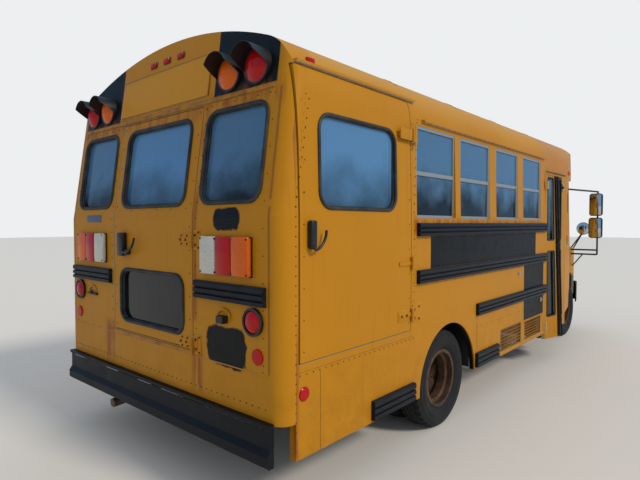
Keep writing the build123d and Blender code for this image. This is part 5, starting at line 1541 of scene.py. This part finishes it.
@dataclass
class HingePlates:
    """Bolted plates under the hinges of the rear door and the lift door."""

    rear_axis: float = 0.475
    rear_heights: tuple[float, ...] = (1.470, 0.860)
    rear_bolt: float = 0.008
    lift_axis: float = 1217.0
    lift_bolt: float = 0.009
    # Height, far edge of the post's plate from the axis, half its height, and spread of its bolts
    lift_posts: tuple[Pane, ...] = ((2.150, 40.0, 0.072, 0.030), (0.955, 118.0, 0.060, 0.042))
    half: float = 0.036
    post_half: float = 0.058
    thick: float = 0.004
    gap_mm: float = 20.0

    def start(self, door: str, ride: Ride) -> tuple[Piece, ...]:
        """Starts the four pieces of one door.

        Args:
            door: First word of their names.
            ride: The door's body.

        Returns:
            Plates of the door and the post, then bolts of the door and the post.
        """
        return tuple(
            Piece(f"{door}_{part}_hinge_{kind}", finish, body)
            for kind, finish in (("plates", YELLOW), ("bolts", RIVET))
            for part, body in (("door", ride), ("post", Ride.BUS))
        )

    def build(self) -> None:
        """Makes the plates of the two doors and their posts, with dark bolt heads."""
        self.build_rear()
        self.build_lift()

    def build_rear(self) -> None:
        """Plates beside the rear door's hinge axis, made with the wall at Y = 0."""
        pieces = self.start("rear", Ride.REAR_DOOR)
        doors, posts, door_bolts, post_bolts = pieces
        axis, gap, tall = self.rear_axis, self.gap_mm / 1000.0, self.post_half
        for z in self.rear_heights:
            low, high = (axis - 0.137, -self.thick, z - self.half), (axis - gap, 0.001, z + self.half)
            doors.box(low, high, 0.0015)
            low, high = (axis + gap, -self.thick, z - tall), (axis + 0.078, 0.001, z + tall)
            posts.box(low, high, 0.0015)
            for x in (axis - 0.115, axis - 0.060):
                door_bolts.drum((x, -0.0095, z), REARWARD, self.rear_bolt, 0.007, 6, edge=0.001)
                for rise in (-0.025, 0.025):
                    door_bolts.drum((x + 0.010, -0.006, z + rise), REARWARD, 0.0065, 0.006, 6, edge=0.001)
            for rise in (-0.028, 0.028):
                near, far = (axis + 0.036, -0.0095, z + rise), (axis + 0.066, -0.006, z + rise * 1.6)
                post_bolts.drum(near, REARWARD, self.rear_bolt, 0.007, 6, edge=0.001)
                post_bolts.drum(far, REARWARD, 0.0065, 0.006, 6, edge=0.001)
        for piece in pieces:
            piece.lean(on_rear)
            piece.deliver()

    def build_lift(self) -> None:
        """Plates beside the lift door's hinge axis. The bolts stand on the upright straps."""
        pieces = self.start("lift", Ride.LIFT_DOOR)
        doors, posts, door_bolts, post_bolts = pieces
        back, face = HALF_WIDTH - 0.001, HALF_WIDTH + self.thick
        axis, gap = self.lift_axis, self.gap_mm
        for z, reach, tall, apart in self.lift_posts:
            doors.box((back, at(axis - 165), z - self.half), (face, at(axis - gap), z + self.half), 0.0015)
            posts.box((back, at(axis + gap), z - tall), (face, at(axis + reach), z + tall), 0.0015)
            for station in (axis - 125, axis - 65):
                place = (HALF_WIDTH + 0.0095, at(station), z)
                door_bolts.drum(place, RIGHTWARD, self.lift_bolt, 0.007, 6, edge=0.001)
            for rise in (-apart, apart):
                place = (HALF_WIDTH + 0.0095, at(axis + 32), z + rise * 0.7)
                post_bolts.drum(place, RIGHTWARD, self.lift_bolt, 0.007, 6, edge=0.001)
                if reach > 60.0:
                    place = (HALF_WIDTH + 0.006, at(axis + 98), z + rise)
                    post_bolts.drum(place, RIGHTWARD, 0.008, 0.006, 6, edge=0.001)
        for piece in (doors, posts):
            piece.lean(on_side)
        for piece in pieces:
            piece.deliver()


@dataclass
class StopSign:
    """Blank octagon of the folding arm: white edge, red face and two lamps a side."""

    centre: Point = (-1.269, at(3960) - 0.090 - 0.225, 1.365)
    half_sheet: float = 0.006
    across: float = 0.450
    lamp_rise: float = 0.150
    lamp: tuple[Pair, ...] = ((0.0, 0.013), (0.024, 0.011), (0.036, 0.005), (0.036, 0.0))

    def build(self) -> None:
        """Makes the sheeting and the lamps on both faces."""
        eighth = math.radians(22.5)
        corner = self.across / 2 / math.cos(eighth)
        edge = Piece("stop_arm_white_edge", WHITE_SHEET, Ride.STOP_ARM)
        face = Piece("stop_arm_red_face", RED_SHEET, Ride.STOP_ARM)
        lamps = Piece("stop_arm_lamps", RED_LENS, Ride.STOP_ARM)
        x, y, height = self.centre
        for side in (1.0, -1.0):
            out = (side, 0.0, 0.0)
            spin = Matrix.Translation(self.centre) @ turn_to(out) @ Matrix.Rotation(eighth, 4, "Z")
            for piece, radius, rise in ((edge, corner - 0.004, 0.0008), (face, corner - 0.020, 0.0016)):
                lift = Matrix.Translation((0.0, 0.0, self.half_sheet + rise - 0.0005))
                bmesh.ops.create_cone(
                    piece.bm, cap_ends=True, cap_tris=False, segments=8, radius1=radius, radius2=radius,
                    depth=0.001, matrix=spin @ lift,
                )
            for z in (height + self.lamp_rise, height - self.lamp_rise):
                lamps.lathe(self.lamp, (x + side * self.half_sheet, y, z), out, 24)
        for piece in (edge, face, lamps):
            piece.deliver()


@dataclass
class MirrorFaces:
    """Silvered glass of the four flat mirrors and the two convex ones."""

    station: float = 5900.0
    heads: tuple[Pane, ...] = ((1.242, 1.400, 1.672, 1.975), (1.236, 1.400, 1.372, 1.648))
    border: float = 0.012
    convex_place: Point = (1.042, at(6400), 1.494)
    convex: tuple[Pair, ...] = (
        (0.0, 0.0475), (0.030, 0.0450), (0.052, 0.0378), (0.072, 0.0250), (0.086, 0.0085), (0.086, 0.0),
    )

    def build(self) -> None:
        """Makes the flat faces and the convex ones."""
        glass = Piece("mirror_glass", MIRROR_GLASS, sharp=30.0)
        back, rim = at(self.station) - 0.048, self.border
        for low_x, high_x, low_z, high_z in self.heads:
            low = (low_x + rim, back - 0.002, low_z + rim)
            glass.box(low, (high_x - rim, back + 0.004, high_z - rim), 0.0015)
        glass.lathe(self.convex, self.convex_place, REARWARD, 32)
        glass.mirror_copy()
        glass.deliver()


@dataclass
class HeadlampPair:
    """Sealed lamps beside the grille: black surround, bright bowl, clear lens and amber signal."""

    x: Pair = (0.5604, 0.8200)
    y: Pair = (6445.0, 6478.0)
    z: Pair = (0.700, 1.050)
    lamp_z: Pair = (0.830, 1.026)
    signal_z: Pair = (0.724, 0.806)
    edge: float = 0.024
    bowl: tuple[Pair, ...] = (
        (0.0, -0.024), (0.020, -0.023), (0.050, -0.016), (0.080, -0.003), (0.094, 0.0), (0.094, -0.0265),
    )

    def build(self) -> None:
        """Makes both sides of each part and replaces the CAD node."""
        (low, high), (bottom, top) = self.x, self.z
        back, front = at(self.y[0]), at(self.y[1])
        inner, outer = low + self.edge, high - self.edge
        surround = Piece("headlamp_surrounds", BLACK_PLASTIC, slot="lens")
        surround.box((low, back, bottom), (high, back + 0.004, top))
        for z0, z1 in ((bottom, self.signal_z[0]), (self.signal_z[1], self.lamp_z[0]), (self.lamp_z[1], top)):
            surround.box((low, back + 0.004, z0), (high, front, z1), 0.002)
        for x0, x1 in ((low, inner), (outer, high)):
            for z0, z1 in (self.signal_z, self.lamp_z):
                surround.box((x0, back + 0.004, z0), (x1, front, z1))
        bowl = Piece("headlamp_reflectors", REFLECTOR)
        x, y, z = (low + high) / 2, front - 0.004, sum(self.lamp_z) / 2
        bowl.lathe(self.bowl, (x, y, z), FORWARD, 32)
        bowl.drum((x, y - 0.014, z), FORWARD, 0.012, 0.020, 16, top=0.009)
        glass = Piece("headlamp_lenses", CLEAR_LENS)
        glass.box((inner, front - 0.002, self.lamp_z[0]), (outer, front + 0.010, self.lamp_z[1]), 0.005)
        signal = Piece("front_signal_lenses", AMBER_LENS)
        signal.box((inner, front - 0.020, self.signal_z[0]), (outer, front + 0.008, self.signal_z[1]), 0.004)
        for piece in (surround, bowl, glass, signal):
            piece.mirror_copy()
            piece.deliver(*(("headlamps",) if piece is surround else ()))


def screen_share(z: float) -> float:
    """How far up the windscreen a height is, from 0 at its foot to 1 at its head."""
    return (z - SCREEN_Z[0]) / (SCREEN_Z[1] - SCREEN_Z[0])


def screen_y(x: float, z: float) -> float:
    """Y of the curved windscreen's skin.

    Args:
        x: Distance from the centre plane.
        z: Height, between the screen's foot and its head.

    Returns:
        The skin's Y.
    """
    share = screen_share(z)
    nose = 5600.0 + (5250.0 - 5600.0) * share
    corner = 5470.0 + (5150.0 - 5470.0) * share
    reach = 0.930 + (0.850 - 0.930) * share
    return at(nose - (nose - corner) * (x / reach) ** 2)


@dataclass
class CabDetails:
    """Windscreen rubber and wipers, rubber and handle of the driver's door, and the fuel door."""

    # Height and half width of the windscreen's rubber
    low: Pair = (1.290, 0.850)
    high: Pair = (2.080, 0.790)
    corner_cut: float = 0.05
    point_gap: float = 0.12
    driver_pane: tuple[Pair, ...] = (
        (4230, 1.31), (5180, 1.31), (5195, 1.33), (4985, 2.01), (4970, 2.02), (4240, 2.02), (4230, 2.01),
    )
    # X of the pane's outside at the windscreen's foot, and how far it leans in by its head
    pane_x: Pair = (1.011, 0.110)
    # X of each wiper's foot and tip
    wipers: tuple[Pair, ...] = ((-0.55, -0.62), (0.15, 0.08))
    handle: Pair = (4190.0, 4350.0)

    def screen_loop(self) -> list[Point]:
        """Loop round the windscreen, on the curved skin.

        Returns:
            The points, once round.
        """
        (z0, x0), (z1, x1) = self.low, self.high
        cut = self.corner_cut
        corners = (
            (-x0 + cut, z0), (x0 - cut, z0), (x0, z0 + cut), (x1, z1 - cut), (x1 - cut, z1), (-x1 + cut, z1),
            (-x1, z1 - cut), (-x0, z0 + cut),
        )
        points = []
        for (ax, az), (bx, bz) in zip(corners, corners[1:] + corners[:1]):
            count = max(1, round(math.hypot(bx - ax, bz - az) / self.point_gap))
            for step in range(count):
                points.append((ax + (bx - ax) * step / count, az + (bz - az) * step / count))
        return [(x, screen_y(x, z) + 0.002, z) for x, z in points]

    def build(self) -> None:
        """Makes the rubbers, wipers, handle and fuel door."""
        Tubing("windscreen_rubber", SEAL, 0.013, [self.screen_loop()]).build()
        foot, lean = self.pane_x
        loop = [(lean * screen_share(z) - foot, at(station), z) for station, z in self.driver_pane]
        Tubing("driver_door_rubber", SEAL, 0.010, [loop], Ride.DRIVER_DOOR).build()
        arms = []
        blades = []
        for foot, tip in self.wipers:
            start = (foot, screen_y(foot, 1.262) + 0.030, 1.262)
            arms.append([start, (tip, screen_y(tip, 1.66) + 0.022, 1.66)])
            run = [(tip + 0.06 * (step / 8 - 0.5), 1.42 + 0.48 * step / 8) for step in range(9)]
            blades.append([(x, screen_y(x, z) + 0.014, z) for x, z in run])
        Tubing("wiper_arms", BLACK_PLASTIC, 0.006, arms, closed=False).build()
        Tubing("wiper_blades", SEAL, 0.008, blades, closed=False).build()
        handle = Piece("driver_door_pull", BLACK_PLASTIC, Ride.DRIVER_DOOR)
        start, end = self.handle
        handle.box((-1.036, at(start), 1.120), (-1.022, at(end), 1.146), 0.005)
        for foot in (start, end - 25):
            handle.box((-1.030, at(foot), 1.122), (-1.008, at(foot + 25), 1.144), 0.003)
        handle.deliver()
        fuel = Piece("fuel_door", YELLOW)
        fuel.box((-1.222, at(3060), 0.560), (-1.2175, at(3260), 0.760), 0.002)
        fuel.box((-1.226, at(3070), 0.650), (-1.221, at(3086), 0.680), 0.002)
        fuel.deliver()


@dataclass
class EntranceDetails:
    """Edge rubbers, grab bar and step edges of the entrance."""

    hinge_x: float = 1.232
    depth: Pair = (1.177, 1.217)
    reach: Pair = (0.003, 0.270)
    heights: Pair = (0.281, 2.104)
    panes: tuple[Pair, ...] = ((0.531, 1.257), (1.382, 2.080))
    pane_inset: float = 0.040
    # Body, direction and station of a leaf's hinge, and degrees that it stands ajar at foot and head
    leaves: tuple[tuple[Ride, float, float, Pair], ...] = (
        (Ride.ENTRANCE_REAR, 1.0, 4073.0, (13.0, 0.0)),
        (Ride.ENTRANCE_FRONT, -1.0, 4637.0, (22.0, 7.0)),
    )
    bar_y: float = at(4120)
    steps: int = 3
    tread: float = 0.2123
    riser: float = 0.178

    def place(self, leaf: Sequence[Any], depth: float, reach: float, z: float) -> Point:
        """Point of a leaf that stands off its jamb, as the CAD turns it.

        Args:
            leaf: One of the leaves.
            depth: X of the point while the leaf is shut.
            reach: Its distance from the hinge along the leaf.
            z: Its height.

        Returns:
            The point.
        """
        _, way, station, gape = leaf
        share = (z - self.heights[0]) / (self.heights[1] - self.heights[0])
        ends = []
        for angle in gape:
            turn = math.radians(angle)
            away = depth - self.hinge_x
            out = away * math.cos(turn) + reach * math.sin(turn)
            ends.append((out, reach * math.cos(turn) - away * math.sin(turn)))
        out = ends[0][0] + (ends[1][0] - ends[0][0]) * share
        ahead = ends[0][1] + (ends[1][1] - ends[0][1]) * share
        return (self.hinge_x + out, at(station) + way * ahead, z)

    def build(self) -> None:
        """Makes the rubbers on the leaves, the bar inside and the treads' edges."""
        middle = sum(self.depth) / 2
        inner, outer = self.reach[0] + self.pane_inset, self.reach[1] - self.pane_inset
        for leaf in self.leaves:
            name = leaf[0].value.replace("_body", "")
            edge = [[self.place(leaf, middle, self.reach[1] - 0.001, z) for z in self.heights]]
            Tubing(f"{name}_edge_rubber", SEAL, 0.0075, edge, leaf[0], False).build()
            loops = []
            for low, high in self.panes:
                corners = rounded_loop((inner, low), (outer, high), 0.02, 3)
                loops.append([self.place(leaf, self.depth[1] + 0.001, reach, z) for reach, z in corners])
            Tubing(f"{name}_pane_rubbers", SEAL, 0.008, loops, leaf[0]).build()
        y = self.bar_y
        bar = [[(0.60, y, 0.95), (0.60, y, 1.30), (0.95, y, 1.05), (1.08, y, 0.72)]]
        Tubing("entrance_grab_bar", ALUMINIUM, 0.014, bar, closed=False).build()
        treads = Piece("step_edges", STEP_TREAD)
        for step in range(1, self.steps + 1):
            x, z = 0.520 + step * self.tread, 0.835 - step * self.riser
            treads.box((x - 0.030, at(4090), z), (x + 0.006, at(4620), z + 0.004), 0.001)
        treads.deliver()


@dataclass
class Furniture:
    """Padded benches and the driver's seat."""

    bench_width: float = 0.960
    cushion_height: float = 0.130
    seat_z: float = 1.270
    back_top: float = 1.900
    outer: float = 1.149
    # Side and station of every bench
    rows: tuple[tuple[int, float], ...] = (
        (-1, 700.0), (-1, 1400.0), (-1, 2135.0), (-1, 2820.0), (-1, 3500.0),
        (1, 2135.0), (1, 2820.0), (1, 3500.0),
    )
    driver_x: float = -0.470
    voxel: float = 0.018
    puff: float = 0.012

    def pad(self, name: str, low: Point, high: Point, edge: float) -> bpy.types.Object:
        """Starts one pad from its pinched-in block.

        Args:
            name: Name of the pad.
            low: One corner of the block.
            high: The corner across from it.
            edge: Rounding of its edges.

        Returns:
            The pad's object, before it is filled.
        """
        block = Piece(name, SEAT)
        block.box(low, high, edge)
        pad = bpy.data.objects.new(name, block.to_mesh())
        bpy.context.scene.collection.objects.link(pad)
        return pad

    def build(self) -> None:
        """Fills one cushion of each kind, then copies it to every row."""
        low, wide = (0.010, 0.100, self.seat_z - self.cushion_height), self.bench_width - 0.010
        cushion = self.pad("bench_cushion", low, (wide, 0.480, self.seat_z - 0.014), 0.022)
        back = self.pad("bench_back", (0.010, 0.052, 1.144), (wide, 0.078, self.back_top - 0.012), 0.008)
        left, right = self.driver_x - 0.238, self.driver_x + 0.238
        seat = self.pad("driver_cushion", (left, at(4302), 1.082), (right, at(4748), 1.176), 0.022)
        left, right = self.driver_x - 0.228, self.driver_x + 0.228
        rest = self.pad("driver_back", (left, at(4212), 1.200), (right, at(4278), 1.838), 0.020)
        self.lean_backs(back, rest)
        fill_pads((cushion, back, seat, rest), self.voxel, self.puff)
        self.copy_rows(cushion, back)
        for pad in (seat, rest):
            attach(pad, Ride.BUS.value)
            pad.data.materials.append(SEAT.build())
        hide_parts("driver_seat")
        pedestal = Piece("driver_seat_base", BLACK_PLASTIC)
        left, right = self.driver_x - 0.19, self.driver_x + 0.19
        pedestal.box((left, at(4330), 0.836), (right, at(4700), 1.078), 0.008)
        pedestal.deliver()

    def lean_backs(self, back: bpy.types.Object, rest: bpy.types.Object) -> None:
        """Leans the two kinds of back as their CAD solids do.

        Args:
            back: Block of a bench's back.
            rest: Block of the driver's back rest.
        """
        for corner in back.data.vertices:
            share = max(0.0, (corner.co.z - 1.27) / 0.63)
            corner.co.y += share * (-0.038 if corner.co.y > 0.065 else -0.058)
            corner.co.y += -0.006 if corner.co.y < 0.065 else 0.006
        for corner in rest.data.vertices:
            corner.co.y += -0.088 * (corner.co.z - 1.185) / 0.665

    def copy_rows(self, cushion: bpy.types.Object, back: bpy.types.Object) -> None:
        """Copies the filled pads to every bench, and removes the patterns.

        Args:
            cushion: Filled cushion of a bench.
            back: Filled back of a bench.
        """
        replaced = ("passenger_seats",)
        for number, (side, station) in enumerate(self.rows, start=1):
            left = self.outer - self.bench_width if side > 0 else -self.outer
            for pattern in (cushion, back):
                mesh = pattern.data.copy()
                mesh.transform(Matrix.Translation((left, at(station), 0.0)))
                pad = bpy.data.objects.new(f"{pattern.name}_{number}", mesh)
                settle(pad, Ride.BUS, SEAT, replaced)
                replaced = ()
        for pattern in (cushion, back):
            bpy.data.objects.remove(pattern)


def fill_pads(pads: Sequence[bpy.types.Object], voxel: float, cap: float, last_frame: int = 20) -> None:
    """Fills pads with air pressure by cloth simulation, and keeps the result in their meshes.

    Args:
        pads: Objects that hold their pinched-in blocks.
        voxel: Size of the remesh.
        cap: How far a point may move.
        last_frame: Frame at which the filling is read.
    """
    scene = bpy.context.scene
    starts = []
    for pad in pads:
        remesh = pad.modifiers.new("remesh", "REMESH")
        remesh.mode = "VOXEL"
        remesh.voxel_size = voxel
        apply_modifiers(pad)
        starts.append([point.co.copy() for point in pad.data.vertices])
        cloth = pad.modifiers.new("cloth", "CLOTH")
        cloth.settings.use_pressure = True
        cloth.settings.uniform_pressure_force = 4.0
        cloth.settings.effector_weights.gravity = 0.0
        cloth.point_cache.frame_start = 1
        cloth.point_cache.frame_end = last_frame
    for frame in range(1, last_frame + 1):
        scene.frame_set(frame)
    for pad, start in zip(pads, starts):
        apply_modifiers(pad)
        for point, place in zip(pad.data.vertices, start):
            move = point.co - place
            if move.length > cap:
                point.co = place + move.normalized() * cap
        smooth = pad.modifiers.new("smooth", "SUBSURF")
        smooth.levels = 1
        smooth.render_levels = 1
        apply_modifiers(pad)
        for face in pad.data.polygons:
            face.use_smooth = True
    scene.frame_set(1)


def apply_modifiers(piece: bpy.types.Object) -> None:
    """Keeps what the modifiers make as the piece's own mesh.

    Args:
        piece: The object.
    """
    bpy.context.view_layer.update()
    made = piece.evaluated_get(bpy.context.evaluated_depsgraph_get())
    mesh = bpy.data.meshes.new_from_object(made)
    piece.modifiers.clear()
    piece.data = mesh


@dataclass
class CabinFittings:
    """Gauges and pedals of the driver's place."""

    dials_x: tuple[float, ...] = (-0.60, -0.53, -0.41, -0.34)
    # X and width of each pedal
    pedals: tuple[Pair, ...] = ((-0.44, 0.10), (-0.32, 0.06))

    def build(self) -> None:
        """Makes the small fittings."""
        gauges = Piece("gauge_cluster", BLACK_PLASTIC, slot="cab_grey")
        gauges.box((-0.68, at(5150), 1.215), (-0.26, at(5178), 1.300), 0.006)
        dials = Piece("gauge_faces", WHITE_SHEET, slot="cab_grey")
        for x in self.dials_x:
            dials.drum((x, at(5149), 1.258), REARWARD, 0.026, 0.003, 20)
        pedals = Piece("pedals", BLACK_PLASTIC)
        for x, width in self.pedals:
            pedals.box((x - width / 2, at(5235), 0.905), (x + width / 2, at(5250), 0.985), 0.004)
            pedals.box((x - 0.008, at(5248), 0.940), (x + 0.008, at(5300), 0.980), 0.003)
        for piece in (gauges, dials, pedals):
            piece.deliver()


ASSEMBLIES: tuple[Any, ...] = (
    *(RoadTyre(wheel) for wheel in WHEELS),
    *(WheelFittings(wheel) for wheel in WHEELS),
    WindowRubbers(),
    RearDetails(),
    Lenses(),
    LampScrews(),
    SideDetails(),
    DoorHandles(),
    HingePlates(),
    StopSign(),
    MirrorFaces(),
    HeadlampPair(),
    CabDetails(),
    EntranceDetails(),
    Furniture(),
    CabinFittings(),
)


@dataclass
class Studio:
    """Camera of the photograph, pale floor and soft light."""

    camera_place: Point = (2.955, -4.9795, 1.564)
    look: Point = (-0.658, 0.753, -0.0325)
    lens: float = 28.0
    floor_size: float = 60.0
    sun_way: Point = (-0.80, -0.10, -0.62)
    sun_power: float = 1.9
    sun_degrees: float = 12.0

    def aim(self, name: str, data: bpy.types.ID, way: Point) -> bpy.types.Object:
        """Puts a camera or a lamp in the scene, looking a way.

        Args:
            name: Its name.
            data: The camera or the light.
            way: Direction that it looks in.

        Returns:
            The new object.
        """
        made = bpy.data.objects.new(name, data)
        made.rotation_mode = "QUATERNION"
        made.rotation_quaternion = Vector(way).to_track_quat("-Z", "Y")
        bpy.context.scene.collection.objects.link(made)
        return made

    def make_camera(self) -> None:
        """Puts the camera where the photograph was taken."""
        data = bpy.data.cameras.new("photo_camera")
        data.lens = self.lens
        data.sensor_width = 36.0
        camera = self.aim("photo_camera", data, self.look)
        camera.location = self.camera_place
        bpy.context.scene.camera = camera

    def make_floor(self) -> None:
        """Lays the plain pale floor, which keeps the bus's shadow."""
        mesh = bpy.data.meshes.new("floor")
        bm = bmesh.new()
        bmesh.ops.create_grid(bm, x_segments=1, y_segments=1, size=self.floor_size)
        bm.to_mesh(mesh)
        bm.free()
        floor = bpy.data.objects.new("floor", mesh)
        bpy.context.scene.collection.objects.link(floor)
        mesh.materials.append(Finish("pale_studio_floor", "#D9D8D5", 0.9).build())

    def make_light(self) -> None:
        """World for the soft fill, one large sun on the right side as in the photograph."""
        scene = bpy.context.scene
        world = bpy.data.worlds.new("studio_world")
        scene.world = world
        world.use_nodes = True
        tree = world.node_tree
        tree.nodes.clear()
        path = add(tree, "LightPath").outputs
        seen = add(tree, "Background", {"Color": linear("#EDEFF1"), "Strength": 1.0})
        fill = add(tree, "Background", {"Color": linear("#E6EAF0"), "Strength": 0.72})
        sky = add(tree, "Background", {"Color": linear("#8FB4D9"), "Strength": 0.9})
        through = {0: path["Is Camera Ray"], 1: path["Is Transmission Ray"]}
        direct = add(tree, "Math", through, operation="MAXIMUM")
        lit = add(tree, "MixShader", {0: direct.outputs[0], 1: fill.outputs[0], 2: seen.outputs[0]})
        mixed = add(tree, "MixShader", {0: path["Is Glossy Ray"], 1: lit.outputs[0], 2: sky.outputs[0]})
        add(tree, "OutputWorld", {"Surface": mixed.outputs[0]})
        sun = bpy.data.lights.new("soft_sun", "SUN")
        sun.energy = self.sun_power
        sun.angle = math.radians(self.sun_degrees)
        sun.color = linear("#FFF4E2")[:3]
        self.aim("soft_sun", sun, self.sun_way)
        scene.view_settings.view_transform = "Standard"

    def build(self) -> None:
        """Makes the camera, the floor and the light."""
        self.make_camera()
        self.make_floor()
        self.make_light()


def main() -> None:
    """Loads the frame, dresses every node and builds the new pieces."""
    logging.basicConfig(level=logging.INFO, format="%(message)s")
    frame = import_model()
    Studio().build()
    finishes = {name: finish for finish, names in NODE_FINISHES for name in names}
    for name, node in frame["nodes"].items():
        if name not in finishes:
            LOG.warning("no finish for %s", name)
            continue
        dress(node, finishes[name])
        LOG.info("dressed %s with %s", name, finishes[name].name)
    for assembly in ASSEMBLIES:
        assembly.build()
        LOG.info("built %s", type(assembly).__name__)


if __name__ == "__main__":
    main()
